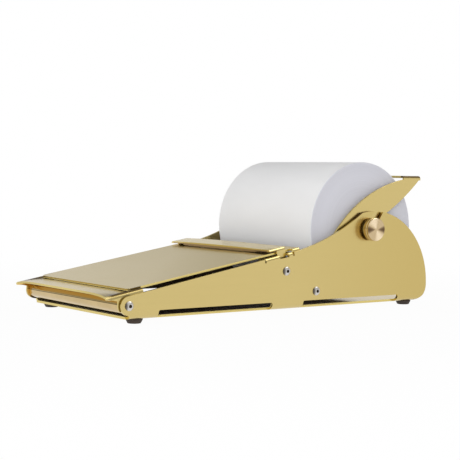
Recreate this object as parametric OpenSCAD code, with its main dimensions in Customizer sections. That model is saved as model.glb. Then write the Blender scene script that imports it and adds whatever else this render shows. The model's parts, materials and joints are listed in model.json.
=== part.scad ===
// Memo roll dispenser of folded brass sheet: a raked writing deck in front of a till roll.
// X runs across, Y runs from the tear lip back to the roll, Z is up from the table.
// Inside the file lengths run from the front edge and the underside of the base sheet.

/* [Paper roll] */
// Width of the paper roll
roll_w = 80; // [57:1:112]
// Outer diameter of the full roll
roll_d = 70; // [56:1:80]
// Inner diameter of the cardboard core
core_bore = 12; // [11:0.5:16]
// Wall of the cardboard core
core_wall = 3; // [1.5:0.5:5]
// Clearance of the wound paper on its core
wind_clear = 0.05; // [0.02:0.01:0.1]
// Room under the full roll
roll_clear = 2.9; // [2:0.1:8]
// Room between the end of the roll and a bail arm
roll_gap = 3.2; // [2.4:0.1:8]

/* [Folded chassis] */
// Thickness of the chassis sheet
sheet = 1.2; // [0.8:0.1:2]
// Length of the base sheet
base_len = 184.5; // [180:0.5:200]
// Outer radius of the bend between base and sides
bend_r = 3.6; // [2.6:0.1:5]
// Height of the windows that relieve the side bends
window_top = 3.8; // [3:0.1:6]
// Radius of the upper corners of the windows
window_r = 0.9; // [0.3:0.1:1.8]
// End of the front bend tab
front_tab_end = 16.3; // [13:0.1:24]
// Start of the middle bend tab
mid_tab_start = 83.2; // [70:0.1:88]
// Length of the middle bend tab
mid_tab_len = 19.8; // [8:0.1:30]
// Start of the rear bend tab
rear_tab_start = 168.5; // [150:0.1:172]

/* [Side plates] */
// Distance of the nose centre behind the front edge of the base
nose_y = 0.2; // [-2:0.1:2]
// Height of the nose centre
nose_z = 6.45; // [6.2:0.05:9]
// Radius of the nose
nose_r = 4.5; // [3.6:0.1:5]
// Set-back of the front edge of the side under the nose
nose_undercut = 1.1; // [0.2:0.1:2]
// Rake of the top edge in degrees
rake = 10.3; // [8:0.1:12]
// Place where the top edge starts to rise towards the roll
rise_y = 94; // [92:0.5:104]
// Radius of the rise
rise_r = 127; // [100:1:160]
// Rear end of the side plates
plate_rear = 189.6; // [186:0.1:200]
// Radius of the rear lobe
lobe_r = 39; // [34:0.5:42]
// Height of the lobe above the axle
lobe_top = 9.4; // [7:0.1:14]
// Radius of the lower rear corner
rear_corner_r = 8.6; // [3:0.1:9]

/* [Bar guides] */
// Start of the inward flange at the top edge
flange_start = 78.8; // [76:0.1:82]
// Length of the inward flange
flange_len = 16.9; // [14:0.1:17.2]
// Width of the inward flange, bend included
flange_w = 6.5; // [5:0.1:10]
// Outer radius of the flange bend
flange_r = 1.5; // [1.2:0.1:1.6]
// Width of the relief notches beside the flange
notch_w = 0.8; // [0.4:0.1:1]
// Depth of the relief notches
notch_depth = 1.9; // [1:0.1:3]

/* [Axle] */
// Distance of the axle behind the front edge of the base
axle_y = 147.4; // [144:0.1:150]
// Diameter of the journals
journal_d = 5.4; // [4.6:0.1:6]
// Distance of the end of a journal inside the outer face of its side plate
journal_short = 0.2; // [0.1:0.1:0.6]
// Lean of the axle slot from upright in degrees
slot_lean = 34; // [20:1:45]
// Clearance of a journal in its slot
slot_clear = 0.1; // [0.05:0.01:0.3]
// Running clearance on the axle
run_clear = 0.05; // [0.02:0.01:0.1]
// Clearance of the core on the spindle
core_clear = 0.1; // [0.05:0.01:0.1]
// Thickness of the thrust washers
thrust_t = 0.8; // [0.5:0.1:1.5]
// Diameter of the thrust washers and spacers
washer_d = 11; // [9:0.5:13]

/* [Knobs] */
// Diameter of a knob
knob_d = 12; // [9:0.5:16]
// Length of a knob
knob_len = 4.6; // [4:0.1:8]
// Diameter of the hub behind the head and of the washer under it
knob_hub_d = 9.4; // [7:0.1:10]
// Length of the hub behind the head
knob_hub = 0.8; // [0.6:0.1:1.2]
// Distance of the groove round the head behind its face
knob_groove_at = 1.5; // [1.2:0.1:1.6]
// Width of the groove
knob_groove = 0.5; // [0.3:0.1:0.8]
// Chamfers on the rim
knob_chamfer = 0.3; // [0.2:0.1:0.4]
// Thickness of the washer under a knob
knob_washer_t = 0.6; // [0.4:0.1:1]
// Diameter of the threaded stud
stud_d = 4; // [3:0.5:4]
// Metal left between the stud and the face of the knob
knob_cap = 1; // [0.6:0.1:1.5]

/* [Roll bail] */
// Thickness of the bail sheet
bail_t = 1.2; // [0.8:0.1:2]
// Gap between a bail arm and its side plate
bail_gap = 0.8; // [0.5:0.1:2]
// Rise of the front edge of the cross strip as seen from the axle in degrees
strip_angle = 45.9; // [40:0.1:52]
// Room between the full roll and the cross strip
strip_clear = 2.5; // [1.5:0.1:6]
// Reach of the toe in front of the axle
toe_y = 25.1; // [18:0.1:28]
// Drop of the toe below the axle
toe_z = 5.5; // [2:0.1:8]
// Radius of the front edge of the horn
horn_front_r = 76.3; // [60:0.1:100]
// Radius of the rear edge of the horn
horn_rear_r = 119; // [90:1:160]
// Radius of the hub round the axle
bail_hub_r = 9; // [7:0.1:11]
// Depth of the cross strip
strip_depth = 12.4; // [8:0.1:12.8]
// Outer radius of the bend between arm and strip
strip_r = 1.6; // [1.2:0.1:2]

/* [Writing deck] */
// Thickness of the deck sheet
deck_t = 1; // [0.8:0.1:1.6]
// Rake of the deck in degrees
deck_rake = 9.65; // [9:0.05:10.5]
// Gap between the deck and the bar guides
deck_gap = 0.42; // [0.3:0.01:0.8]
// Gap between the edge of the deck and an end tab of the paper bar
deck_side = 0.4; // [0.3:0.1:2]
// Front edge of the deck
deck_front = 2.2; // [0:0.1:5]
// Radius of the front corners
deck_corner_r = 3; // [2.5:0.5:12]
// Outer radius of the bend between deck and ear
deck_bend_r = 1.5; // [1:0.1:2]
// Length of the ear neck behind the bar guides
neck_len = 4.1; // [3:0.1:6]
// Gap between the bar guide and the ear neck
neck_gap = 1.2; // [0.8:0.1:2]
// Margin round the deck screws
ear_margin = 4; // [3.4:0.1:4.4]
// Fore and aft place of the upper deck screw
upper_screw_y = 91.8; // [89:0.1:94]
// Height of the upper deck screw
upper_screw_z = 19.1; // [16:0.1:19.5]
// Fore and aft place of the lower deck screw
lower_screw_y = 111.4; // [107:0.1:112]
// Height of the lower deck screw
lower_screw_z = 8.3; // [7.6:0.1:10]

/* [Tear plate] */
// Thickness of the tear plate
lip_t = 1; // [0.8:0.1:1.2]
// Reach of the lip in front of the base
lip_reach = 10.8; // [8:0.1:14]
// Rear edge of the tear plate
lip_rear = 8.6; // [7:0.1:12]
// Slope of the middle of the tear plate in degrees
lip_slope = 2.65; // [1:0.05:4]
// Rise of the tear edge from its ends to its middle
lip_crown = 1.1; // [0.5:0.05:1.6]
// Rise of the rear edge from its middle to its ends
lip_upturn = 1.4; // [0.4:0.05:1.4]
// Gap between the middle of the tear plate and the deck
lip_gap = 0.15; // [0.1:0.01:0.4]
// Margin round the tear plate screw
lip_ear_r = 5; // [4.2:0.1:5.1]
// Clearance of the tear plate ear over the bend of the side plate
ear_clear = 0.2; // [0.1:0.05:0.5]
// Radius of the hollow between the lip and the front of its ear
lip_sweep = 4.2; // [2:0.1:5]
// Outer radius of the bend between lip and ear
lip_bend_r = 1.8; // [1.2:0.1:1.8]

/* [Front bar] */
// Diameter of the cross bar between the noses
bar_d = 7.8; // [6:0.1:8]

/* [Paper bar] */
// Thickness of the paper bar sheet
paper_bar_t = 1; // [0.6:0.1:1.4]
// Front edge of the paper bar along the deck
paper_bar_front = 84.5; // [83:0.1:86]
// Depth of the paper bar
paper_bar_depth = 9.6; // [8:0.1:10]
// Height of the top of the paper bar over the deck at its ends
paper_bar_top = 1.95; // [1.6:0.05:3]
// Rise of the paper bar from its ends to its middle
paper_bar_crown = 0.5; // [0.2:0.05:1.2]
// Gap for the paper under the front wall
paper_gap = 0.45; // [0.2:0.05:0.5]
// Length of the front wall
wall_len = 64; // [40:1:80]
// Width of the end tabs
tab_w = 5.4; // [4:0.1:6]
// Reach of the end tabs below the deck
tab_drop = 5.2; // [4.4:0.1:5.4]
// Clearance of the end tabs in their slots
tab_clear = 0.2; // [0.1:0.05:0.4]
// Depth below the deck of the windows that show the end tabs
tab_window = 3.2; // [2.8:0.1:4]
// Outer radius of the bend between top and end tab
tab_bend_r = 1.5; // [1:0.1:1.9]

/* [Screws and feet] */
// Diameter of the screws
screw_d = 2.5; // [2:0.1:3]
// Diameter of the screw heads
screw_head_d = 4.4; // [4:0.1:6]
// Height of the screw heads
screw_head_h = 1.3; // [0.8:0.1:2]
// Height of the straight rim of the screw heads
screw_rim = 0.3; // [0.1:0.1:0.5]
// Width across flats of the screw sockets
socket_af = 1.5; // [1:0.1:2]
// Depth of the screw sockets
socket_depth = 0.7; // [0.4:0.1:0.8]
// Radial clearance of the screw holes
hole_clear = 0.1; // [0.05:0.05:0.3]
// Radial clearance of the threads
thread_clear = 0.03; // [0.02:0.01:0.06]
// Depth of the threads in the front bar
bar_thread = 6; // [4:0.5:12]
// Room left beyond the point of a screw in the front bar
thread_room = 0.6; // [0.2:0.1:1]
// Width across flats of the deck nuts
nut_af = 5; // [4.5:0.1:6]
// Thickness of the deck nuts
nut_t = 1.8; // [1.2:0.1:2.2]
// Upper diameter of a foot
foot_d = 8; // [6:0.5:10]
// Lower diameter of a foot
foot_tip_d = 6.2; // [5:0.1:7]
// Height of a foot
foot_h = 2.35; // [1.5:0.05:5]
// Height of the straight rim of a foot
foot_rim = 0.6; // [0.2:0.1:1]
// Diameter of the stem that holds a foot in the base
stem_d = 3; // [2:0.1:4]
// Clearance of the stem in its hole
stem_clear = 0.05; // [0.02:0.01:0.1]
// Height of the bulb that locks the stem
bulb_h = 1.1; // [0.6:0.1:1.4]
// Overhang of the bulb beyond the stem
bulb_out = 0.5; // [0.3:0.1:0.8]
// Distance of the feet from the outer face of their side plate
foot_side = 6.6; // [6.4:0.1:26]
// Distance of the front feet behind the front edge of the base
foot_front = 7; // [5:0.5:30]
// Distance of the rear feet before the rear edge of the base
foot_rear = 5.5; // [5:0.5:30]

/* [Hidden] */
$fn = 96;
brass = [0.80, 0.70, 0.44];
pale_brass = [0.77, 0.69, 0.53];
turned_brass = [0.82, 0.66, 0.46];
steel = [0.74, 0.74, 0.75];
nylon = [0.90, 0.89, 0.86];
rubber = [0.17, 0.13, 0.11];
paper = [0.91, 0.91, 0.91];
card = [0.66, 0.56, 0.43];
// Small overlap that lets cutters pass a face
cut = 1;
// Number of strips across the tear plate
lip_strips = 36;
// How late the tear edge falls towards its ends, and how late the rear edge turns up
fall_power = 8;
turn_power = 44;

// Stations across the width
plate_in = roll_w / 2 + roll_gap + bail_t + bail_gap;
half_w = plate_in + sheet;
bail_out = plate_in - bail_gap;
bail_in = bail_out - bail_t;
spindle_end = bail_in - thrust_t;
knob_seat = half_w + knob_washer_t;
knob_face = knob_seat + knob_len;
stud_end = knob_face - knob_cap;
tab_out = plate_in - flange_r + tab_clear;
tab_in = tab_out - paper_bar_t;
deck_half = tab_in - deck_side;
foot_x = half_w - foot_side;
foot_rear_y = base_len - foot_rear;

// Heights and points on the side plates
axle_z = sheet + roll_clear + roll_d / 2;
rake_top = nose_z + nose_r / cos(rake) - nose_y * tan(rake);
lobe_y = plate_rear - lobe_r;
lobe_z = axle_z + lobe_top - lobe_r;
lobe_corner_r = min(rear_corner_r, lobe_z);
rise_c = [rise_y - rise_r * sin(rake), edge_z(rise_y) + rise_r * cos(rake)];
function edge_z(y) = rake_top + y * tan(rake);

// Horn tip behind and above the axle, where the cross strip clears the full roll
strip_swing = roll_d / 2 + strip_clear;
tip_y = strip_swing * cos(strip_angle) + strip_depth;
tip_z = strip_swing * sin(strip_angle);

// Deck plane, with its underside just clear of the bar guides
guide_mid = flange_start + flange_len / 2;
deck_top = edge_z(guide_mid) + deck_gap + deck_t / cos(deck_rake) - guide_mid * tan(deck_rake);
function deck_z(y) = deck_top + y * tan(deck_rake);
neck_start = flange_start + flange_len + neck_gap;
deck_end = neck_start + neck_len;
ear_out = plate_in - run_clear;
ear_in = ear_out - deck_t;
nut_in = ear_in - nut_t;

// Tear plate, with its middle just clear of the deck and its ends raked
lip_half = plate_in - run_clear;
lip_len = lip_reach + lip_rear;
lip_under_deck = deck_z(deck_front) - deck_t / cos(deck_rake) - lip_gap;
function lip_mid_z(y) = lip_under_deck + (y - deck_front) * tan(lip_slope);
lip_end_front = lip_mid_z(-lip_reach) - lip_crown;
lip_end_rear = lip_mid_z(lip_rear) + lip_upturn;
lip_rake = atan2(lip_end_rear - lip_end_front, lip_len);
lip_top = lip_end_front + lip_reach * tan(lip_rake);
function lip_z(y) = lip_top + y * tan(lip_rake);

// Middle of the whole length
mid_y = (plate_rear - lip_reach) / 2;

// Moves a sub-part from the sheet datum to the table datum
module place() {
    translate([0, -mid_y, foot_h]) children();
}

// Stands a flat outline of lengths and heights upright, from one width to another
module upright(from_x, to_x) {
    translate([from_x, 0, 0]) rotate([90, 0, 90]) linear_extrude(to_x - from_x) children();
}

// Repeats a right-hand feature on the left
module both_sides() {
    children();
    mirror([1, 0, 0]) children();
}

// Lies along a raked edge: Y follows the slope and Z stands square to it
module on_slope(angle, height) {
    translate([0, 0, height]) rotate([angle, 0, 0]) children();
}

// A rod across the width at one place
module cross_rod(y, z, d, from_x, to_x) {
    translate([from_x, y, z]) rotate([0, 90, 0]) cylinder(d = d, h = to_x - from_x);
}

// A washer across the width, running on the axle
module axle_washer(d, shaft_d, from_x, to_x) {
    difference() {
        cross_rod(axle_y, axle_z, d, from_x, to_x);
        cross_rod(axle_y, axle_z, shaft_d + 2 * run_clear, from_x - cut, to_x + cut);
    }
}

// Waste outside a rounded edge that runs along Y at the upper outer corner
module edge_waste(radius, length) {
    translate([0, length, 0]) rotate([90, 0, 0]) linear_extrude(length) difference() {
        translate([-radius, -radius]) square(radius + cut);
        translate([-radius, -radius]) circle(radius);
    }
}

// Section of the folded channel, open at the top
module channel_floor(half, radius, height) {
    translate([-half, radius]) square([2 * half, height]);
    translate([radius - half, 0]) square([2 * (half - radius), radius + cut]);
    for (side = [-1, 1]) translate([side * (half - radius), radius]) circle(radius);
}

module channel_section(height) {
    difference() {
        channel_floor(half_w, bend_r, height);
        translate([0, sheet]) channel_floor(half_w - sheet, bend_r - sheet, height + 2 * cut);
    }
}

// Outline of a side plate: nose, raked edge, rise, rear lobe and lower rear corner
module side_outline() {
    difference() {
        union() {
            translate([nose_y, nose_z]) circle(nose_r);
            polygon([[nose_y + nose_undercut, 0], [lobe_y, 0], [lobe_y, axle_z + lobe_top],
                [rise_y, edge_z(rise_y)], [nose_y - nose_r * sin(rake), nose_z + nose_r * cos(rake)],
                [nose_y, nose_z]]);
            rear_lobe();
        }
        translate(rise_c) circle(rise_r, $fn = 360);
    }
}

// Quarter of the lobe above its centre, with a straight rear edge and a rounded corner below
module rear_lobe() {
    intersection() {
        translate([lobe_y, lobe_z]) circle(lobe_r, $fn = 180);
        translate([lobe_y - lobe_r, lobe_z - cut / 2]) square([2 * lobe_r, 2 * lobe_r]);
    }
    translate([lobe_y - cut, 0]) square([lobe_r - lobe_corner_r + cut, lobe_z]);
    translate([lobe_y, lobe_corner_r]) square([lobe_r, lobe_z - lobe_corner_r]);
    translate([plate_rear - lobe_corner_r, lobe_corner_r]) circle(lobe_corner_r);
}

// Open slot that the axle drops into, leaning back
module axle_slot() {
    translate([axle_y, axle_z]) rotate(-slot_lean) {
        circle(d = journal_d + 2 * slot_clear);
        translate([-journal_d / 2 - slot_clear, 0])
            square([journal_d + 2 * slot_clear, lobe_top / cos(slot_lean) + journal_d]);
    }
}

// Windows between the bend tabs, with rounded upper corners
module bend_windows() {
    mid_tab_end = mid_tab_start + mid_tab_len;
    for (span = [[front_tab_end, mid_tab_start], [mid_tab_end, rear_tab_start]])
        upright(half_w - bend_r, half_w + cut) window_outline(span[0], span[1]);
}

module window_outline(from_y, to_y) {
    translate([from_y, -cut]) square([to_y - from_y, window_top - window_r + cut]);
    translate([from_y + window_r, 0]) square([to_y - from_y - 2 * window_r, window_top]);
    for (y = [from_y + window_r, to_y - window_r]) translate([y, window_top - window_r]) circle(window_r);
}

// Inward flange that guides an end tab of the paper bar
module bar_guide() {
    along = flange_start / cos(rake);
    on_slope(rake, rake_top) difference() {
        translate([half_w - flange_w, along, -sheet]) cube([flange_w, flange_len / cos(rake), sheet]);
        translate([half_w, along - cut, 0]) edge_waste(flange_r, flange_len / cos(rake) + 2 * cut);
    }
}

// Relief notches at both ends of a flange, and the rounded edge between them
module bar_guide_waste() {
    long = flange_len / cos(rake);
    on_slope(rake, rake_top) translate([half_w, flange_start / cos(rake), 0]) {
        edge_waste(flange_r, long);
        for (s = [-notch_w, long]) translate([-sheet - cut, s, -notch_depth])
            cube([sheet + 2 * cut, notch_w, notch_depth + cut]);
    }
}

// Slot for an end tab, cut square to the deck, with a window through the bend of the guide
module tab_slot() {
    on_slope(deck_rake, deck_top) translate([tab_in - tab_clear, tab_start() - tab_clear, 0]) {
        translate([0, 0, -tab_drop])
            cube([paper_bar_t + 2 * tab_clear, tab_w + 2 * tab_clear, tab_drop + paper_bar_top]);
        translate([0, 0, -tab_window])
            cube([half_w - tab_in + tab_clear + cut, tab_w + 2 * tab_clear, tab_window]);
    }
}

function tab_start() = paper_bar_front + paper_bar_depth - tab_w;

// Screw places on a side plate
module at_screws() {
    for (at = [[nose_y, nose_z], [upper_screw_y, upper_screw_z], [lower_screw_y, lower_screw_z]])
        translate([0, at[0], at[1]]) children();
}

// Foot places on the base
module foot_holes() {
    for (y = [foot_front, foot_rear_y]) translate([foot_x, y, -cut])
        cylinder(d = stem_d + 2 * stem_clear, h = sheet + 2 * cut);
}

module chassis() {
    color(brass) place() difference() {
        union() {
            translate([bend_r - half_w, 0, 0]) cube([2 * (half_w - bend_r), base_len, sheet]);
            both_sides() intersection() {
                translate([0, plate_rear + cut, 0]) rotate([90, 0, 0])
                    linear_extrude(plate_rear + nose_r + 2 * cut) channel_section(axle_z + lobe_top);
                upright(half_w - bend_r, half_w + cut) difference() {
                    side_outline();
                    axle_slot();
                }
            }
            both_sides() bar_guide();
        }
        both_sides() {
            bend_windows();
            bar_guide_waste();
            tab_slot();
            foot_holes();
            at_screws() cross_rod(0, 0, screw_d + 2 * hole_clear, plate_in - cut, half_w + cut);
        }
    }
}

// Turned bar that ties the noses together
module front_bar() {
    end = lip_half - lip_t;
    color(turned_brass) place() difference() {
        cross_rod(nose_y, nose_z, bar_d, -end, end);
        both_sides() cross_rod(nose_y, nose_z, screw_d + 2 * thread_clear, end - bar_thread, end + cut);
    }
}

// Arched sheet of the tear plate: straight lines run from the crowned front edge to the upturned rear edge
module arched_lip() {
    run = lip_half - lip_bend_r;
    function share(x) = min(1, abs(x) / run);
    function front_z(x) = lip_end_front + lip_crown * (1 - pow(share(x), fall_power));
    function rear_z(x) = lip_end_rear - lip_upturn * (1 - pow(share(x), turn_power));
    xs = [-lip_half, for (i = [0:lip_strips]) run * sin(90 * (2 * i / lip_strips - 1)), lip_half];
    n = len(xs);
    front = [for (x = xs) [x, -lip_reach, front_z(x)]];
    rear = [for (x = xs) [x, lip_rear, rear_z(x)]];
    down = [0, 0, -lip_t];
    points = concat(front, rear, [for (p = front) p + down], [for (p = rear) p + down]);
    skins = [for (i = [0:n - 2]) each [
        [i, n + i, i + 1], [i + 1, n + i, n + i + 1],
        [2 * n + i, 2 * n + i + 1, 3 * n + i], [2 * n + i + 1, 3 * n + i + 1, 3 * n + i],
        [i, i + 1, 2 * n + i], [i + 1, 2 * n + i + 1, 2 * n + i],
        [n + i, 3 * n + i, n + i + 1], [n + i + 1, 3 * n + i, 3 * n + i + 1]]];
    ends = [[0, 2 * n, n], [n, 2 * n, 3 * n],
        [n - 1, 2 * n - 1, 3 * n - 1], [2 * n - 1, 4 * n - 1, 3 * n - 1]];
    polyhedron(points, concat(skins, ends));
}

// Ear of the tear plate, following the lip above and cut flat over the bend of the side plate
module lip_ear_outline() {
    front = nose_y - lip_ear_r;
    difference() {
        translate([nose_y, nose_z]) circle(lip_ear_r);
        translate([nose_y - 2 * lip_ear_r, -lip_ear_r])
            square([4 * lip_ear_r, lip_ear_r + bend_r + ear_clear]);
    }
    polygon([[front, nose_z], [nose_y + lip_ear_r, nose_z], [lip_rear, lip_z(lip_rear) - lip_ear_r],
        [lip_rear, lip_z(lip_rear) - lip_t / 2], [front, lip_z(front) - lip_t / 2]]);
    translate([front, lip_z(front) - lip_t / 2]) rotate(lip_rake) difference() {
        translate([-lip_sweep, -lip_sweep]) square(lip_sweep);
        translate([-lip_sweep, -lip_sweep]) circle(lip_sweep);
    }
}

module tear_plate() {
    color(pale_brass) place() difference() {
        union() {
            arched_lip();
            both_sides() upright(lip_half - lip_t, lip_half) lip_ear_outline();
        }
        both_sides() {
            cross_rod(nose_y, nose_z, screw_d + 2 * hole_clear, lip_half - lip_t - cut, half_w);
            on_slope(lip_rake, lip_top) translate([lip_half, -lip_reach / cos(lip_rake) - cut, 0])
                edge_waste(lip_bend_r, lip_len / cos(lip_rake) + 2 * cut);
        }
    }
}

// Button head screw with a hex socket, pointing inwards from a side plate
module side_screw(y, z, reach) {
    difference() {
        union() {
            translate([half_w, y, z]) rotate([0, 90, 0]) rotate_extrude() button_profile();
            cross_rod(y, z, screw_d, half_w - reach, half_w + screw_rim);
        }
        translate([half_w + screw_head_h - socket_depth, y, z]) rotate([0, 90, 0])
            cylinder(d = socket_af / cos(30), h = screw_head_h, $fn = 6);
    }
}

// Half section of a domed screw head
module button_profile() {
    dome = screw_head_h - screw_rim;
    dome_r = (pow(screw_head_d / 2, 2) + dome * dome) / (2 * dome);
    intersection() {
        square([screw_head_d / 2, screw_head_h]);
        translate([0, screw_head_h - dome_r]) circle(dome_r);
    }
}

module tear_plate_screws() {
    reach = half_w - lip_half + lip_t + bar_thread - thread_room;
    color(steel) place() both_sides() side_screw(nose_y, nose_z, reach);
}

module deck_upper_screws() {
    color(steel) place() both_sides() side_screw(upper_screw_y, upper_screw_z, half_w - nut_in);
}

module deck_lower_screws() {
    color(steel) place() both_sides() side_screw(lower_screw_y, lower_screw_z, half_w - nut_in);
}

// Hex nut pressed on the inside of a deck ear
module deck_nut(y, z) {
    difference() {
        translate([nut_in, y, z]) rotate([0, 90, 0]) cylinder(d = nut_af / cos(30), h = nut_t, $fn = 6);
        cross_rod(y, z, screw_d + 2 * thread_clear, nut_in - cut, ear_out);
    }
}

module deck_nuts() {
    color(steel) place() both_sides() {
        deck_nut(upper_screw_y, upper_screw_z);
        deck_nut(lower_screw_y, lower_screw_z);
    }
}

// Flat outline of the deck: rounded front corners, shoulders at the rear for the ears
module deck_outline() {
    from = deck_front / cos(deck_rake);
    to = deck_end / cos(deck_rake);
    translate([-deck_half, from + deck_corner_r]) square([2 * deck_half, to - from - deck_corner_r]);
    inner = deck_half - deck_corner_r;
    translate([-inner, from]) square([2 * inner, deck_corner_r + cut]);
    for (side = [-1, 1]) translate([side * inner, from + deck_corner_r]) circle(deck_corner_r);
    translate([-ear_out, neck_start / cos(deck_rake)]) square([2 * ear_out, neck_len / cos(deck_rake)]);
}

// Ear of the deck: a neck behind the bar guide that spreads to the two screws
module deck_ear_outline() {
    upper = [upper_screw_y, upper_screw_z];
    lower = [lower_screw_y, lower_screw_z];
    lean = atan2(lower[1] - upper[1], lower[0] - upper[0]);
    span = norm(lower - upper);
    for (at = [upper, lower]) translate(at) circle(ear_margin);
    translate(upper) rotate(lean) translate([0, -ear_margin]) square([span, 2 * ear_margin]);
    polygon([upper, lower, [deck_end, deck_z(deck_end) - deck_t / 2],
        [neck_start, deck_z(neck_start) - deck_t / 2]]);
}

module writing_deck() {
    color(pale_brass) place() difference() {
        union() {
            on_slope(deck_rake, deck_top) translate([0, 0, -deck_t]) linear_extrude(deck_t) deck_outline();
            both_sides() upright(ear_in, ear_out) deck_ear_outline();
        }
        both_sides() {
            on_slope(deck_rake, deck_top) translate([ear_out, neck_start / cos(deck_rake) - cut, 0])
                edge_waste(deck_bend_r, neck_len / cos(deck_rake) + 2 * cut);
            for (at = [[upper_screw_y, upper_screw_z], [lower_screw_y, lower_screw_z]])
                cross_rod(at[0], at[1], screw_d + 2 * hole_clear, ear_in - cut, half_w);
        }
    }
}

// Everything under the crowned top of the paper bar, let down by a drop
module under_crown(drop) {
    crown_r = (tab_out * tab_out + paper_bar_crown * paper_bar_crown) / (2 * paper_bar_crown);
    translate([0, paper_bar_top + paper_bar_crown - drop - crown_r]) circle(crown_r, $fn = 3600);
}

// Section of the paper bar above a height, between two places across the width
module bar_section(half, floor_z) {
    intersection() {
        translate([-half, floor_z]) square([2 * half, paper_bar_top + paper_bar_crown - floor_z]);
        under_crown(0);
    }
}

// Stands a section across the width upright, from one place along the deck for a length
module along_deck(from_y, length) {
    translate([0, from_y + length, 0]) rotate([90, 0, 0]) linear_extrude(length) children();
}

// Bent strip that holds the paper down: crowned top, short front wall and two end tabs
module paper_bar() {
    color(brass) place() on_slope(deck_rake, deck_top) difference() {
        union() {
            along_deck(paper_bar_front, paper_bar_depth) difference() {
                bar_section(tab_out, 0);
                under_crown(paper_bar_t);
            }
            along_deck(paper_bar_front, paper_bar_t) bar_section(wall_len / 2, paper_gap);
            both_sides() translate([tab_in, tab_start(), -tab_drop])
                cube([paper_bar_t, tab_w, tab_drop + paper_bar_top]);
        }
        both_sides() translate([tab_out, paper_bar_front - cut, paper_bar_top])
            edge_waste(tab_bend_r, paper_bar_depth + 2 * cut);
    }
}

// Turned spindle with stepped ends
module axle() {
    journal_end = half_w - journal_short;
    color(turned_brass) place() {
        cross_rod(axle_y, axle_z, core_bore - 2 * core_clear, -spindle_end, spindle_end);
        cross_rod(axle_y, axle_z, journal_d, -journal_end, journal_end);
        cross_rod(axle_y, axle_z, stud_d, -stud_end, stud_end);
    }
}

module thrust_washers() {
    color(nylon) place() both_sides() axle_washer(washer_d, journal_d, spindle_end, bail_in);
}

module bail_spacers() {
    color(nylon) place() both_sides() axle_washer(washer_d, journal_d, bail_out, plate_in);
}

// Centre of an arc of given radius through two points, on the left of the way from a to b
function arc_centre(a, b, radius) =
    let (half = (b - a) / 2, along = norm(half), off = sqrt(radius * radius - along * along))
    (a + b) / 2 + off / along * [-half[1], half[0]];

// Horn of the bail: the lens between a front arc and a rear arc, with a hub round the axle
module horn_outline() {
    tip = [axle_y + tip_y, axle_z + tip_z];
    toe = [axle_y - toe_y, axle_z - toe_z];
    intersection() {
        translate(arc_centre(tip, toe, horn_front_r)) circle(horn_front_r, $fn = 240);
        translate(arc_centre(toe, tip, horn_rear_r)) circle(horn_rear_r, $fn = 360);
    }
    translate([axle_y, axle_z]) circle(bail_hub_r);
}

// Two horns joined by a flat strip behind the roll
module roll_bail() {
    top = axle_z + tip_z + bail_t;
    rear = axle_y + tip_y;
    color(brass) place() difference() {
        union() {
            both_sides() upright(bail_in, bail_out) {
                horn_outline();
                translate([rear - strip_depth, top - 2 * bail_t]) square([strip_depth, 2 * bail_t]);
            }
            translate([-bail_out, rear - strip_depth, top - bail_t])
                cube([2 * bail_out, strip_depth, bail_t]);
        }
        both_sides() {
            cross_rod(axle_y, axle_z, journal_d + 2 * run_clear, bail_in - cut, bail_out + cut);
            translate([bail_out, rear - strip_depth - cut, top]) edge_waste(strip_r, strip_depth + 2 * cut);
        }
    }
}

module paper_roll() {
    wound_bore = core_bore + 2 * (core_wall + wind_clear);
    color(paper) place() difference() {
        cross_rod(axle_y, axle_z, roll_d, -roll_w / 2, roll_w / 2);
        cross_rod(axle_y, axle_z, wound_bore, -roll_w / 2 - cut, roll_w / 2 + cut);
    }
}

module roll_core() {
    color(card) place() difference() {
        cross_rod(axle_y, axle_z, core_bore + 2 * core_wall, -roll_w / 2, roll_w / 2);
        cross_rod(axle_y, axle_z, core_bore, -roll_w / 2 - cut, roll_w / 2 + cut);
    }
}

// Turned knob: hub and chamfered head with a groove round it, and a blind thread for the stud
module knob() {
    bore = stud_d / 2 + run_clear;
    bottom = knob_len - knob_cap + run_clear;
    outer = knob_d / 2;
    groove = knob_len - knob_groove_at;
    half = knob_groove / 2;
    translate([knob_seat, axle_y, axle_z]) rotate([0, 90, 0]) rotate_extrude() polygon([
        [bore, 0], [knob_hub_d / 2, 0], [knob_hub_d / 2, knob_hub], [outer - knob_chamfer, knob_hub],
        [outer, knob_hub + knob_chamfer], [outer, groove - half], [outer - half, groove],
        [outer, groove + half], [outer, knob_len - knob_chamfer], [outer - knob_chamfer, knob_len],
        [0, knob_len], [0, bottom], [bore, bottom]]);
}

module knob_right() {
    color(turned_brass) place() knob();
}

module knob_left() {
    color(turned_brass) place() mirror([1, 0, 0]) knob();
}

module knob_washer_right() {
    color(nylon) place() axle_washer(knob_hub_d, stud_d, half_w, knob_seat);
}

module knob_washer_left() {
    color(nylon) place() mirror([1, 0, 0]) axle_washer(knob_hub_d, stud_d, half_w, knob_seat);
}

// Push-in rubber foot: tapered pad, stem through the base and a bulb above it
module foot(x, y) {
    color(rubber) place() translate([x, y, 0]) rotate_extrude() polygon([
        [0, -foot_h], [foot_tip_d / 2, -foot_h], [foot_d / 2, -foot_rim], [foot_d / 2, 0],
        [stem_d / 2, 0], [stem_d / 2, sheet], [stem_d / 2 + bulb_out, sheet],
        [stem_d / 2, sheet + bulb_h], [0, sheet + bulb_h]]);
}

module foot_front_right() {
    foot(foot_x, foot_front);
}

module foot_front_left() {
    foot(-foot_x, foot_front);
}

module foot_rear_right() {
    foot(foot_x, foot_rear_y);
}

module foot_rear_left() {
    foot(-foot_x, foot_rear_y);
}

chassis();
front_bar();
tear_plate();
tear_plate_screws();
writing_deck();
deck_upper_screws();
deck_lower_screws();
deck_nuts();
paper_bar();
axle();
thrust_washers();
bail_spacers();
roll_bail();
paper_roll();
roll_core();
knob_right();
knob_left();
knob_washer_right();
knob_washer_left();
foot_front_right();
foot_front_left();
foot_rear_right();
foot_rear_left();
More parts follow.
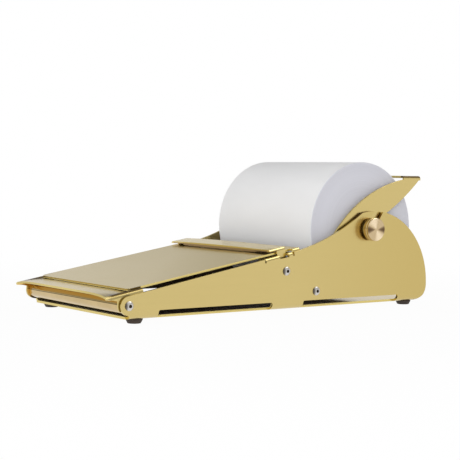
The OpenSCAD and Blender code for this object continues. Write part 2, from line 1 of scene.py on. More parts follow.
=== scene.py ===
"""Memo roll dispenser: folded satin brass sheet, turned brass, a till roll, and the studio it stands in."""

import json
import math

import bmesh
import bpy
import numpy as np
from bpy.props import FloatProperty, FloatVectorProperty, IntProperty, PointerProperty
from mathutils import Matrix, Vector
from mathutils.bvhtree import BVHTree

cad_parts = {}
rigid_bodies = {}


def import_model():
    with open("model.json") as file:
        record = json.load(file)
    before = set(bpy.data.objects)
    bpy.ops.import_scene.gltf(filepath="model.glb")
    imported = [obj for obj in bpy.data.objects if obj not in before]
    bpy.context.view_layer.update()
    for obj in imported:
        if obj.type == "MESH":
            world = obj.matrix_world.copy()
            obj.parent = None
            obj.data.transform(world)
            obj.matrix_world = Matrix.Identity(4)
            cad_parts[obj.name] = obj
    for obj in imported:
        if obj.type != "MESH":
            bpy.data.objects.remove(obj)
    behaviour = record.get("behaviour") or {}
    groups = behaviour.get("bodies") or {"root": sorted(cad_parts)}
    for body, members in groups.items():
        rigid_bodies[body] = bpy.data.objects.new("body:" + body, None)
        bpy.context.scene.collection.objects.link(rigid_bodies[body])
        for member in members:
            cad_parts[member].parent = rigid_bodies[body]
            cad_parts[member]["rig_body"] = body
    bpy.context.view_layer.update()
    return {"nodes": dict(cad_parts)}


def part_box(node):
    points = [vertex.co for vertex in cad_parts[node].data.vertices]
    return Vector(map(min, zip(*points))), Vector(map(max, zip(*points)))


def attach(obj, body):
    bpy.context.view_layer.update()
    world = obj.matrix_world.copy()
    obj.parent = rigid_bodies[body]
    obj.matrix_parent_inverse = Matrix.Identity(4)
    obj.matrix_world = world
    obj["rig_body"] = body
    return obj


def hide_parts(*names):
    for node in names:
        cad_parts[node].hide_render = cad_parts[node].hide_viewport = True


bl_info = {
    "name": "Memo roll dispenser",
    "version": (1, 0, 0),
    "blender": (4, 5, 0),
    "location": "View3D > Sidebar > Dispenser",
    "description": "Finishes a desk memo roll dispenser of folded brass sheet and sets it in a white studio",
    "category": "Object",
}

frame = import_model()
MM = 0.001
ROLL_AXIS = (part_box("axle")[0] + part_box("axle")[1]) / 2
BAR_AXIS = (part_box("front_bar")[0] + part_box("front_bar")[1]) / 2
PLATE_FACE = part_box("chassis")[1].x


def colour(name, description, default):
    """A colour setting, in linear light."""
    return FloatVectorProperty(name=name, description=description, default=default, subtype="COLOR",
                               min=0, max=1)


def length(name, description, default_mm):
    """A length setting, given in millimetres and kept in metres."""
    return FloatProperty(name=name, description=description, default=default_mm * MM, subtype="DISTANCE",
                         unit="LENGTH", precision=5)


def degrees(name, description, default):
    """An angle setting, given in degrees and kept in radians."""
    return FloatProperty(name=name, description=description, default=math.radians(default), subtype="ANGLE")


def factor(name, description, default):
    """A setting between nought and one."""
    return FloatProperty(name=name, description=description, default=default, subtype="FACTOR", min=0, max=1)


def watts(name, description, default):
    """The power of a light."""
    return FloatProperty(name=name, description=description, default=default, unit="POWER")


class DispenserSheet(bpy.types.PropertyGroup):
    """Sizes and colours of the folded brass sheets."""
    skin: colour("Skin", "Brushed face of the sheet", (0.64, 0.505, 0.205))
    cut_edge: colour("Cut edge", "Bright edge where the sheet was cut", (0.70, 0.56, 0.20))
    # Painted shade: dull dark skin inside the body and under the deck
    inner_shade: colour("Shelter", "Dull skin inside the folded body", (0.055, 0.030, 0.012))
    # Painted shade: the side plates turn darker towards the rear
    rear_shade: colour("Warm skin", "Skin of the side plates towards the roll", (0.595, 0.455, 0.165))
    # Painted shade and reflection: the bar's front wall darker and duller than the skin
    wall: colour("Wall", "Skin of the hold-down bar's front wall", (0.40, 0.29, 0.17))
    # Painted light: the bar's top paler than the skin, as if lit from overhead
    top: colour("Top", "Skin of the hold-down bar's top", (0.73, 0.60, 0.29))
    # Painted shade on the walls of the axle slots
    slot: colour("Slot", "Walls of the axle slots", (0.24, 0.12, 0.015))
    # Painted shade on bends and corners
    dim: colour("Dim", "Dim patches on bends and corners", (0.11, 0.068, 0.012))
    edge_round: length("Edge rounding", "Rounding of the cut edges", 0.14)
    bend: length("Bend", "Outer radius of the bends between base and sides", 3.6)
    thickest: length("Thickest sheet", "Faces with metal deeper than this behind them are cut edges", 1.4)
    streak: length("Streak", "Width of a brushing streak", 0.16)
    streak_run: length("Streak run", "Length of a brushing streak", 26.0)
    streak_tone: factor("Streak tone", "How much the streaks lighten and darken the skin", 0.022)
    roughness: factor("Roughness", "Satin gloss of the skin", 0.25)
    glance: colour("Glance", "Tint of the skin at a glancing view", (0.96, 0.97, 1.0))
    deck_tilt: degrees("Deck tilt", "Rake of the deck and the hold-down bar", 9.65)
    deck_high: length("Deck height", "Height of the deck over the middle of the object", 30.99)
    lip_tilt: degrees("Lip tilt", "Slope of the tear lip", 2.65)


class DispenserLip(bpy.types.PropertyGroup):
    """Sizes and colours of the tear plate."""
    thick: length("Thickness", "Thickness of the tear plate", 1.0)
    bend: length("Bend", "Outer radius of the bends between lip and ears", 2.4)
    fall: length("Fall", "Fall of the ends of the lip from rear to front", 3.4)
    crown: length("Crown", "Rise of the tear edge from its ends to its middle", 1.1)
    upturn: length("Upturn", "Rise of the rear edge from its middle to its ends", 1.4)
    ear: length("Ear", "Radius of an ear round its screw", 5.0)
    throat: length("Throat", "Drop of an ear's front edge where it meets the round of the ear", 3.4)
    rear_ear: length("Rear ear", "Depth of an ear at the rear edge of the lip", 5.0)
    # Painted reflection: the orange of light bounced between brass under the lip
    under: colour("Underside", "Skin under the lip", (0.80, 0.56, 0.18))
    # Painted shade on the upper skin of the lip towards its ends
    fade: factor("Fade", "How much the upper skin of the lip dims towards its ends", 0.2)
    # Painted shade on the ears round the noses
    crevice_shade: factor("Crevice", "How much the ears dim round the noses", 0.7)


class DispenserTurned(bpy.types.PropertyGroup):
    """Sizes and colours of the turned brass pieces."""
    brass: colour("Turned brass", "Colour of the turned pieces", (0.59, 0.445, 0.225))
    # Painted reflection of the lip's shaded underside on the upper side of the front bar
    shaded: colour("Sheltered brass", "Upper side of the front bar, under the lip", (0.45, 0.32, 0.12))
    shade_rise: length("Shelter rise", "Height of the sheltered skin over the axis of the front bar", 0.5)
    # Painted highlight and painted dark reflection fans on the knob's face
    fan_highlight: colour("Bright fans", "Bright fans on the face of a knob", (0.90, 0.735, 0.50))
    fan_mid: colour("Middle tone", "Face of a knob between its fans", (0.60, 0.455, 0.265))
    fan_dark_reflection: colour("Dark fans", "Dark fans on the face of a knob", (0.10, 0.052, 0.022))
    fan_lean: degrees("Fan lean", "Lean of the bright fans from upright towards the lip", 26)
    ring: length("Turning ring", "Pitch of the turning marks", 0.24)
    groove: length("Groove depth", "Depth of the turning marks", 0.012)
    softness: length("Corner softness", "Rounding of the turned corners", 0.14)
    dimple: length("Centre dimple", "Radius of the dimple in a knob's face", 0.3)
    hub: length("Hub", "Radius of the hub behind a knob's head", 4.7)
    hub_long: length("Hub length", "Length of the hub behind a knob's head", 0.8)
    rim_groove: length("Rim groove", "Distance of the groove round a knob's head behind its face", 1.5)
    rim_groove_half: length("Half rim groove", "Half the width of the groove round a knob's head", 0.25)
    chamfer: length("Chamfer", "Chamfers on the head of a knob", 0.3)
    sides: IntProperty(name="Sides", description="Points round a turned piece", default=128, min=24)


class DispenserFittings(bpy.types.PropertyGroup):
    """Sizes and colours of screws, nuts, washers and feet."""
    steel: colour("Steel", "Colour of screws and nuts", (0.66, 0.635, 0.60))
    # Painted shade in the sockets and on the front rims of the screw heads
    recess: colour("Recess", "Sockets and front rims of the screw heads", (0.075, 0.058, 0.036))
    nylon: colour("Nylon", "Colour of the washers", (0.78, 0.76, 0.70))
    rubber: colour("Rubber", "Colour of the feet", (0.030, 0.021, 0.016))
    head_rim: length("Head rim", "Height of a screw head's straight rim", 0.3)
    head_high: length("Head height", "Height of a screw head", 1.3)
    shank: length("Shank", "Diameter of a screw", 2.5)
    socket: length("Socket", "Width across the flats of a hex socket", 1.5)
    socket_deep: length("Socket depth", "Depth of a hex socket", 0.7)
    bar_reach: length("Bar screw reach", "Reach of a tear plate screw inside its plate's outer face", 7.65)


class DispenserRoll(bpy.types.PropertyGroup):
    """Sizes and colours of the paper roll and its core."""
    paper: colour("Paper", "Outer face of the paper", (0.84, 0.84, 0.845))
    # The ends' winding lines are the paper's own; their darker bluish tone is painted shade
    shaded_paper_end: colour("Paper end", "Wound edges at the ends of the roll", (0.685, 0.685, 0.745))
    card: colour("Card", "Cardboard of the core", (0.36, 0.25, 0.15))
    rim: length("Rim", "Rounding of the roll's rims", 0.35)
    wander: length("Winding wander", "Unevenness of the wound edges", 0.05)
    wind: length("Winding", "Spacing of the winding lines", 0.35)


class DispenserStage(bpy.types.PropertyGroup):
    """Camera, light and floor of the studio."""
    eye: FloatVectorProperty(name="Eye", description="Place of the camera",
                             default=(0.52184, -0.38452, 0.06968), subtype="TRANSLATION", unit="LENGTH")
    heading: degrees("Heading", "Turn of the view from the -X direction towards +Y", 36.48)
    pitch: degrees("Pitch", "Dip of the view below level", 2.63)
    roll: degrees("Roll", "Turn of the camera about its view", 0.79)
    lens: FloatProperty(name="Lens", description="Focal length on a 36 mm wide sensor", default=96.61,
                        unit="CAMERA")
    ambient: factor("Ambient", "Light of the white room on dull surfaces", 0.78)
    dusk: factor("Dusk", "How much the room darkens over its white walls", 0.5)
    overhead: factor("Overhead", "How much the room brightens again overhead", 0.5)
    flag: factor("Flag", "How dark the flag in front of the object is", 0.55)
    lid: factor("Lid", "How much less light dull surfaces get from overhead", 0.5)
    key: watts("Key light", "Power of the large soft light", 2.6)
    fill: watts("Fill light", "Power of the soft light on the near side", 6.5)
    strip: watts("Strip light", "Power of the light that glints on bends", 2.8)
    floor: colour("Floor", "Colour of the floor in shade", (0.86, 0.86, 0.86))
    shade: factor("Shade", "Share of the floor near the object that takes shadow", 0.035)


class DispenserSettings(bpy.types.PropertyGroup):
    """All settings of the dispenser."""
    sheet: PointerProperty(type=DispenserSheet)
    lip: PointerProperty(type=DispenserLip)
    turned: PointerProperty(type=DispenserTurned)
    fittings: PointerProperty(type=DispenserFittings)
    roll: PointerProperty(type=DispenserRoll)
    stage: PointerProperty(type=DispenserStage)


class Wire:
    """One output of a shader node. Sums and products of wires add the Math nodes that work them out."""

    def __init__(self, tree, socket):
        self.tree = tree
        self.socket = socket

    @classmethod
    def node(cls, tree, kind, settings=None, sockets=None, out=0):
        """Adds a node: first its settings, then values or wires on its sockets. Gives one of its outputs."""
        made = tree.nodes.new(kind)
        for key, value in (settings or {}).items():
            setattr(made, key, value)
        for key, value in (sockets or {}).items():
            if isinstance(value, Wire):
                tree.links.new(value.socket, made.inputs[key])
            else:
                made.inputs[key].default_value = value
        return cls(tree, made.outputs[out]) if len(made.outputs) else made

    def maths(self, operation, *others):
        """A Math node on this wire and other wires or numbers."""
        values = dict(enumerate((self, *others)))
        return Wire.node(self.tree, "ShaderNodeMath", {"operation": operation}, values)

    def reflected(self, operation, number):
        """A Math node on a number and then this wire."""
        return Wire.node(self.tree, "ShaderNodeMath", {"operation": operation}, {0: number, 1: self})

    def __add__(self, other):
        return self.maths("ADD", other)

    __radd__ = __add__

    def __mul__(self, other):
        return self.maths("MULTIPLY", other)

    __rmul__ = __mul__

    def __sub__(self, other):
        return self.maths("SUBTRACT", other)

    def __rsub__(self, other):
        return self.reflected("SUBTRACT", other)

    def __truediv__(self, other):
        return self.maths("DIVIDE", other)

    def __rtruediv__(self, other):
        return self.reflected("DIVIDE", other)

    def __pow__(self, other):
        return self.maths("POWER", other)

    def __rpow__(self, other):
        return self.reflected("POWER", other)

    def __abs__(self):
        return self.maths("ABSOLUTE")

    def smooth(self, low, high):
        """Smooth step from 0 at low to 1 at high."""
        return Wire.node(self.tree, "ShaderNodeMapRange", {"interpolation_type": "SMOOTHSTEP"},
                         {"Value": self, "From Min": low, "From Max": high})

    def past(self, edge, start, end):
        """Smooth step from 0 to 1 between two distances past an edge."""
        return self.smooth(edge + start, edge + end)

    def mixed(self, first, second):
        """A colour between two others, this wire being the share of the second."""
        return Wire.node(self.tree, "ShaderNodeMix", {"data_type": "RGBA"},
                         {0: self, 6: first, 7: second}, out=2)

    def tones(self, value, low, high):
        """A colour between two shades of a colour setting."""
        return self.mixed(shade_of(value, low), shade_of(value, high))


class Finish:
    """A new material with its object coordinates, and the way to close it on a Principled shader."""

    def __init__(self, name):
        self.material = bpy.data.materials.new(name)
        self.material.use_nodes = True
        self.tree = self.material.node_tree
        self.tree.nodes.clear()
        self.place = self.node("ShaderNodeTexCoord", out="Object")

    def node(self, kind, settings=None, sockets=None, out=0):
        """A node of this material."""
        return Wire.node(self.tree, kind, settings, sockets, out)

    def noise(self, scale, detail=2.0, tilt=0.0):
        """Noise from 0 to 1, with one scale or its own along X, Y and Z, on coordinates tilted about X."""
        mapped = self.node("ShaderNodeMapping", {"vector_type": "POINT"},
                           {"Vector": self.place, "Rotation": (-tilt, 0, 0),
                            "Scale": np.broadcast_to(scale, 3).tolist()})
        return self.node("ShaderNodeTexNoise", {"noise_dimensions": "3D"},
                         {"Vector": mapped, "Scale": 1.0, "Detail": detail, "Roughness": 0.55})

    def layers(self, way, detail=2.0, roughness=0.5):
        """Noise from 0 to 1 along one way."""
        return self.node("ShaderNodeTexNoise", {"noise_dimensions": "1D"},
                         {"W": way, "Scale": 1.0, "Detail": detail, "Roughness": roughness})

    def axes(self):
        """The three object coordinates as separate wires."""
        split = self.node("ShaderNodeSeparateXYZ", None, {"Vector": self.place})
        return [Wire(self.tree, socket) for socket in split.socket.node.outputs]

    def mark(self, name):
        """A number that the faces of the mesh carry."""
        settings = {"attribute_name": name, "attribute_type": "GEOMETRY"}
        return self.node("ShaderNodeAttribute", settings, out="Fac")

    def axis_radius(self, centre):
        """Distance from an axis along X through a centre."""
        _, y, z = self.axes()
        return ((y - centre.y) ** 2 + (z - centre.z) ** 2) ** 0.5

    def bump(self, height, strength, distance):
        """Normal of a fine relief."""
        return self.node("ShaderNodeBump", None,
                         {"Height": height, "Strength": strength, "Distance": distance})

    def close(self, **sockets):
        """Joins the Principled shader to the output. Socket names have underscores for spaces."""
        named = {key.replace("_", " "): value for key, value in sockets.items()}
        shader = self.node("ShaderNodeBsdfPrincipled", None, named)
        self.node("ShaderNodeOutputMaterial", None, {"Surface": shader})
        return self.material


def rgba(value):
    """A colour setting as four numbers."""
    return (*value, 1.0)


def shade_of(value, share):
    """A colour setting made darker or lighter by a share."""
    return (*(min(1.0, c * share) for c in value), 1.0)


# Noise at which a pattern has its low and its high tone
CONTRAST = (0.3, 0.7)
# Places at which one skin gives way to another, each an edge of painted shade or painted light
# The first pair is where the painted shade on the side plates comes in
REAR_SHADE_WAY = (-10 * MM, 115 * MM)
HALF_SHEET = (0.5 * MM, 0.9 * MM)
SHADE_TOP = (1 * MM, 6 * MM)
SHADE_FRONT = 5 * MM
SHADE_REAR = (36 * MM, 52 * MM)
SLOT_REACH = (11 * MM, 13 * MM)
DECK_SKIN = (0.6 * MM, 0.9 * MM)
DECK_CORNER = (41.6 * MM, 42.1 * MM)
BAR_TABS = (41 * MM, 42 * MM)
BAR_BEND = (-1.75 * MM, -1.45 * MM)
LIP_BEND = (38.5 * MM, 42 * MM)
LIP_DROP = (0.55 * MM, 0.85 * MM)
LIP_FRONT = 4 * MM
LIP_ENDS = (8 * MM, 36 * MM)
# The same, as distances past an edge of a piece
DECK_SIDE = (-0.3 * MM, -0.1 * MM)
LIP_REAR = (-0.5 * MM, 0.5 * MM)
LIP_SIDE = (0, 0.5 * MM)
EAR_SKIN = (-0.4 * MM, -0.2 * MM)
NOSE_ROUND = (0.3 * MM, 0.9 * MM)
STRIP_END = (-3 * MM, -2 * MM)
STRIP_TOP = (-1.1 * MM, -0.8 * MM)
KNOB_FACE = (-0.35 * MM, -0.1 * MM)
SHARP_STEP = (-0.1 * MM, 0.1 * MM)
# Foot and top of the painted shadow line on the front bar
BORDER_FOOT = (-0.25 * MM, -0.1 * MM)
BORDER_TOP = (0.1 * MM, 0.25 * MM)
# Depth of a fine grain, and the noise scale of one on turned brass
GRAIN_DEEP = 0.03 * MM
BRASS_GRAIN = 900
# Shares of a knob's radius, upright and sideways, over which its painted highlight and dark reflection fans
# come in
UPRIGHT_FAN = (0.7, 1.0)
SIDE_FAN = (0.88, 1.0)
# Lines in a metre of radius on the ends of the roll and of its core
BROAD_LINES = 170.0
CARD_LINES = 2600.0


def satin_brass(name, settings, tilt, inside=None, painted_skin=None, rear_shade=False, shade_patch=None, shade_patch_skin=None):
    """Brushed sheet: long fine streaks, a faint cloud of handling and brighter cut edges, with painted light
    and shade: a painted shade towards the rear, a second skin over a mask, dull and dark as painted shade
    inside the body or else a painted reflection or highlight, and patches of painted shade."""
    made = Finish(name)
    fine = 1 / settings.streak
    run = 1 / settings.streak_run
    streaks = made.noise((fine, run, fine), 3.0, tilt)
    bands = made.noise((fine / 9, run / 3, fine / 9), 2.0, tilt)
    cloud = made.noise(38, 3.0)
    cut = made.mark("cut")
    tone = (streaks * 0.45 + bands * 0.3 + cloud * 0.25).smooth(*CONTRAST)
    colours = tone.tones(settings.skin, 1 - settings.streak_tone, 1 + settings.streak_tone)
    # Painted shade: the skin darkens towards the rear
    if rear_shade:
        colours = made.axes()[1].smooth(*REAR_SHADE_WAY).mixed(colours, rgba(settings.rear_shade))
    rough = settings.roughness - 0.06 + streaks * 0.08 + cloud * 0.04 - cut * 0.07
    metal = 1.0
    # Painted light and shade: a second skin over the mask, dull and dark as painted shade where no skin is
    # given
    if inside:
        share = inside(made, settings)
        colours = share.mixed(colours, rgba(painted_skin or settings.inner_shade))
        if painted_skin is None:
            rough = rough + share * 0.5
            metal = 1 - share
    colours = cut.mixed(colours, rgba(settings.cut_edge))
    # Painted shade in patches
    if shade_patch:
        colours = shade_patch(made, settings).mixed(colours, rgba(shade_patch_skin or settings.dim))
    relief = made.bump(streaks, 0.04, 0.02 * MM)
    return made.close(Base_Color=colours, Metallic=metal, Roughness=rough, Normal=relief,
                      Specular_Tint=rgba(settings.glance))


def under_deck(made, settings, start, end):
    """Share of a place that lies under the deck: from 0 to 1 over a depth below the deck's top."""
    _, y, z = made.axes()
    depth = settings.deck_high + y * math.tan(settings.deck_tilt) - z
    return depth.smooth(start, end)


def shaded_inside_chassis(made, settings):
    """Painted shade: a dull dark inner skin of the folded body under the deck, where little light reaches.
    The depth inside the outer skin is the bend radius less the distance from the bend's axis, with distances
    beyond the bend set to nought."""
    x, y, z = made.axes()
    low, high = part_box("chassis")
    across = (abs(x) - (high.x - settings.bend)).maths("MAXIMUM", 0)
    down = (low.z + settings.bend - z).maths("MAXIMUM", 0)
    depth = settings.bend - (across ** 2 + down ** 2) ** 0.5
    covered = y.smooth(BAR_AXIS.y, BAR_AXIS.y + SHADE_FRONT) * (1 - y.smooth(*SHADE_REAR))
    return depth.smooth(*HALF_SHEET) * covered * under_deck(made, settings, *SHADE_TOP)


def shaded_slot_walls(made, settings):
    """Painted shade on the walls of the axle slots: the cut edges near the axle."""
    return made.mark("cut") * (1 - made.axis_radius(ROLL_AXIS).smooth(*SLOT_REACH))


def reflected_lip_underside(made, settings):
    """Lower skin of the tear plate, which takes a painted reflection of light bounced under the lip."""
    return made.mark("under")


def shaded_deck_underside(made, settings):
    """Painted shade on the lower skin of the deck and the inside of its ears."""
    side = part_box("writing_deck")[1].x
    outer_skin = abs(made.axes()[0]).past(side, *DECK_SIDE)
    return under_deck(made, settings, *DECK_SKIN) * (1 - outer_skin)


def shaded_bar_wall(made, settings):
    """Painted shade and reflection on the front wall of the hold-down bar between its end tabs, up to the
    bend under its top.
    """
    between = 1 - abs(made.axes()[0]).smooth(*BAR_TABS)
    return under_deck(made, settings, *BAR_BEND) * between


def lit_bar_top(made, settings):
    """Painted light on the top of the hold-down bar."""
    return 1 - under_deck(made, settings, *BAR_BEND)


def shaded_corners(made, settings):
    """Painted shade on the front corners of the deck over the ends of the tear plate."""
    x, y, _ = made.axes()
    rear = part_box("tear_plate")[1].y
    return abs(x).smooth(*DECK_CORNER) * (1 - y.past(rear, *LIP_REAR))


def shaded_bends(lip):
    """Painted shade on the upper half of the bends at the ends of the tear plate, where the drop below the
    end of the lip is small. It fades out towards the tear edge. Fainter painted shade on the upper skin
    towards its ends, and on the ears close to the noses."""
    def share(made, settings):
        x, y, z = made.axes()
        low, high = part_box("tear_plate")
        across = abs(x)
        drop = high.z - (high.y - y) * (lip.fall / (high.y - low.y)) - z
        bends = across.smooth(*LIP_BEND) * (1 - drop.smooth(*LIP_DROP)) * y.smooth(low.y, low.y + LIP_FRONT)
        on_lip = (1 - across.past(high.x - lip.bend, *LIP_SIDE)) * (1 - made.mark("under"))
        ends = across.smooth(*LIP_ENDS) * on_lip * lip.fade
        nose = BAR_AXIS.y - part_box("chassis")[0].y
        near = 1 - made.axis_radius(BAR_AXIS).past(nose, *NOSE_ROUND)
        crevice_shade = across.past(high.x, *EAR_SKIN) * near * lip.crevice_shade
        return bends.maths("MAXIMUM", ends).maths("MAXIMUM", crevice_shade)
    return share


def shaded_strip(made, settings):
    """Painted shade on the upper half of the bends between the bail's cross strip and its horns."""
    x, _, z = made.axes()
    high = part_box("roll_bail")[1]
    return z.past(high.z, *STRIP_TOP) * abs(x).past(high.x, *STRIP_END)


def ringed_brass(name, settings, shaded=None):
    """Turned brass: fine marks round an axis along X, and above a height a darker, warmer skin, a painted
    reflection of the lip's shaded underside, with a dark lower border painted as a shadow line."""
    made = Finish(name)
    x, _, z = made.axes()
    along = (x * (2 * math.pi / settings.ring)).maths("SINE")
    grain = made.noise(BRASS_GRAIN)
    colours = made.noise(160).smooth(0.3, 0.75).tones(settings.brass, 0.95, 1.05)
    # Painted reflection of the shaded lip above the height, with a painted shadow line at its foot
    if shaded:
        over = z - shaded
        painted_shadow_line = over.smooth(*BORDER_FOOT) * (1 - over.smooth(*BORDER_TOP))
        colours = over.smooth(*SHARP_STEP).mixed(colours, rgba(settings.shaded))
        colours = painted_shadow_line.mixed(colours, shade_of(settings.shaded, 0.25))
    relief = made.bump(along * 0.5 + grain * 0.5, 0.12, settings.groove)
    return made.close(Base_Color=colours, Metallic=1.0, Roughness=0.05 + grain * 0.06, Normal=relief)


def fanned_brass(settings, centre, seat, face):
    """Turned knob: its face has two narrow bright fans, up and down, and dark ones to the sides, painted as
    the highlights and dark reflections that fine rings give. Its hub is painted in shade."""
    made = Finish("turned_brass_knob")
    x, y, z = made.axes()
    radius = made.axis_radius(centre)
    beyond_centre = radius + 0.1 * MM
    sideways = abs(y - centre.y) / beyond_centre
    upright = (z - centre.z) * math.cos(settings.fan_lean) - (y - centre.y) * math.sin(settings.fan_lean)
    grain = made.noise(BRASS_GRAIN)
    rings = made.layers(radius * (1 / settings.ring))
    on_face = abs(x).past(face, *KNOB_FACE)
    between = rings.smooth(*CONTRAST).tones(settings.fan_mid, 0.9, 1.1)
    fans = (abs(upright) / beyond_centre).smooth(*UPRIGHT_FAN).mixed(between, rgba(settings.fan_highlight))
    turned_face = sideways.smooth(*SIDE_FAN).mixed(fans, rgba(settings.fan_dark_reflection))
    on_head = abs(x).past(seat + settings.hub_long, *SHARP_STEP)
    # Painted shade: the hub a quarter as bright as the head
    side = on_head.mixed(shade_of(settings.brass, 0.25), rgba(settings.brass))
    colours = on_face.mixed(side, turned_face)
    return made.close(Base_Color=colours, Metallic=1.0, Roughness=0.16 + grain * 0.08,
                      Normal=made.bump(grain, 0.1, GRAIN_DEEP))


def screw_steel(settings):
    """Bright steel with a faint grain, with painted shade, dull and dark, in the sockets and on the front
    rims of the heads.
    """
    made = Finish("screw_steel")
    grain = made.noise(1400)
    recess = made.mark("recess")
    colours = recess.mixed(grain.tones(settings.steel, 0.9, 1.1), rgba(settings.recess))
    return made.close(Base_Color=colours, Metallic=1.0, Roughness=0.28 + grain * 0.12 + recess * 0.3,
                      Normal=made.bump(grain, 0.08, GRAIN_DEEP))


def nylon(settings):
    """Dull moulded washers."""
    made = Finish("nylon")
    grain = made.noise(700, 3.0)
    return made.close(Base_Color=grain.tones(settings.nylon, 0.93, 1.05), Roughness=0.5 + grain * 0.15,
                      Normal=made.bump(grain, 0.1, GRAIN_DEEP))


def foot_rubber(settings):
    """Dark rubber with a dusty bloom."""
    made = Finish("foot_rubber")
    grain = made.noise(1200, 3.0)
    bloom = made.noise(220)
    colours = bloom.smooth(0.35, 0.8).tones(settings.rubber, 1.0, 2.0)
    return made.close(Base_Color=colours, Roughness=0.55 + bloom * 0.25,
                      Normal=made.bump(grain, 0.3, 0.05 * MM))


def memo_paper(settings, half_width):
    """Wound paper: a smooth outer face, and ends with the lines of the windings, their darker bluish tone a
    painted shade.
    """
    made = Finish("memo_paper")
    radius = made.axis_radius(ROLL_AXIS)
    wound = made.layers(radius * (1 / settings.wind), 4.0, 0.7)
    broad = made.layers(radius * BROAD_LINES)
    fibre = made.noise(2200)
    haze = made.noise((25, 60, 60))
    end = abs(made.axes()[0]).smooth(half_width - settings.rim, half_width - 0.2 * settings.rim)
    edges = (wound * 0.6 + broad * 0.4).smooth(*CONTRAST).tones(settings.shaded_paper_end, 0.94, 1.04)
    face = haze.smooth(*CONTRAST).tones(settings.paper, 0.985, 1.015)
    relief = made.bump(end * wound + fibre * 0.15, 0.25, 0.08 * MM)
    return made.close(Base_Color=end.mixed(face, edges), Roughness=0.72 + fibre * 0.1, Normal=relief)


def core_card(settings):
    """Spirally wound cardboard."""
    made = Finish("core_card")
    layers = made.layers(made.axis_radius(ROLL_AXIS) * CARD_LINES)
    fibre = made.noise((900, 300, 900), 4.0)
    colours = (layers * 0.5 + fibre * 0.5).tones(settings.card, 0.75, 1.25)
    return made.close(Base_Color=colours, Roughness=0.85, Normal=made.bump(fibre, 0.3, 0.1 * MM))


# Angles between faces from which an edge is sharp, from which it is rounded, and within which faces are one
TURNED_CREASE = math.radians(35)
SHEET_CREASE = math.radians(32)
ROUNDED_FROM = math.radians(40)
FLAT_WITHIN = math.radians(0.4)
# Distances within which points are one
TURNED_WELD = 1e-7
SHEET_WELD = 1e-6


def softened(profile, radius, steps=4):
    """Profile with rounded corners. Each inner corner P gives way to the curve (1-t)^2 A + 2t(1-t) P + t^2 B,
    where A and B lie on its two legs at the rounding distance, or at 0.45 of a leg that is too short."""
    points = np.asarray(profile, float)
    corner = points[1:-1]

    def on_leg(other):
        leg = other - corner
        reach = np.linalg.norm(leg, axis=1, keepdims=True)
        return corner + leg / reach * np.minimum(radius, 0.45 * reach)

    t = np.linspace(0, 1, steps + 1)[None, :, None]
    first, last = on_leg(points[:-2])[:, None], on_leg(points[2:])[:, None]
    curve = (1 - t) ** 2 * first + 2 * t * (1 - t) * corner[:, None] + t ** 2 * last
    return np.vstack([points[:1], curve.reshape(-1, 2), points[-1:]])


def whole(half):
    """Profile of a shape with two like ends, from its right half."""
    return [(-along, radius) for along, radius in half[::-1]] + half


def lathed(profile, centre, axis, sides, hexed=None):
    """Surface turned about an axis: a point of the profile (way along the axis, radius) at every angle. A
    hexed row has the radius r / cos(a), with a the angle folded into the sixth of a turn about the nearest
    flat."""
    along, radius = np.asarray(profile, float).T
    share = np.zeros(len(radius)) if hexed is None else np.asarray(hexed, float)
    angle = np.linspace(0, 2 * np.pi, sides, endpoint=False)
    folded = (angle + np.pi / 6) % (np.pi / 3) - np.pi / 6
    reach = radius[:, None] * (1 + share[:, None] * (1 / np.cos(folded) - 1))
    axis = np.asarray(axis, float)
    side = np.roll(np.abs(axis), 1)
    other = np.cross(axis, side)
    points = (np.asarray(centre, float) + along[:, None, None] * axis
              + (reach * np.cos(angle))[..., None] * side + (reach * np.sin(angle))[..., None] * other)
    row = np.arange(len(radius) - 1)[:, None] * sides
    step = np.arange(sides)[None, :]
    after = (step + 1) % sides
    quads = np.stack([row + step, row + after, row + sides + after, row + sides + step], axis=-1)
    return points.reshape(-1, 3), quads.reshape(-1, 4)


def both_ends(profile, y, z, sides, hexed=None):
    """The same turned shape on the right, looking along +X, and on the left, looking along -X."""
    return [lathed(profile, (0, y, z), (way, 0, 0), sides, hexed) for way in (1, -1)]


def on_axle(profile, sides, way=1):
    """Surface turned about the axle, looking along +X, or along -X where way is -1."""
    return lathed(profile, (0, ROLL_AXIS.y, ROLL_AXIS.z), (way, 0, 0), sides)


def joined(parts):
    """Several surfaces as one list of points and one of faces."""
    offsets = np.cumsum([0] + [len(points) for points, faces in parts[:-1]])
    points = np.vstack([points for points, faces in parts])
    faces = np.vstack([faces + offset for (_, faces), offset in zip(parts, offsets)])
    return points, faces


def set_piece(name, mesh, material, node_names):
    """Puts a mesh into the scene in place of its CAD nodes, on their body and with the given material."""
    piece = bpy.data.objects.new(name, mesh)
    bpy.context.scene.collection.objects.link(piece)
    mesh.materials.clear()
    mesh.materials.append(material)
    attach(piece, frame["nodes"][node_names[0]]["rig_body"])
    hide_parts(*node_names)
    return piece


def mark_faces(mesh, name, values):
    """Gives each face of a mesh a number for its material to read."""
    mesh.attributes.new(name, "FLOAT", "FACE").data.foreach_set("value", np.asarray(values, np.float32))


def turned_piece(name, parts, material, *node_names):
    """A piece of turned surfaces, with its poles and seams closed and its faces outwards."""
    points, faces = joined(parts)
    mesh = bpy.data.meshes.new(name)
    mesh.from_pydata(points.tolist(), [], faces.tolist())
    work = bmesh.new()
    work.from_mesh(mesh)
    bmesh.ops.remove_doubles(work, verts=work.verts, dist=TURNED_WELD)
    bmesh.ops.dissolve_degenerate(work, edges=work.edges, dist=TURNED_WELD / 10)
    bmesh.ops.recalc_face_normals(work, faces=work.faces)
    work.to_mesh(mesh)
    work.free()
    mesh.shade_smooth()
    mesh.set_sharp_from_angle(angle=TURNED_CREASE)
    return set_piece(name, mesh, material, node_names)


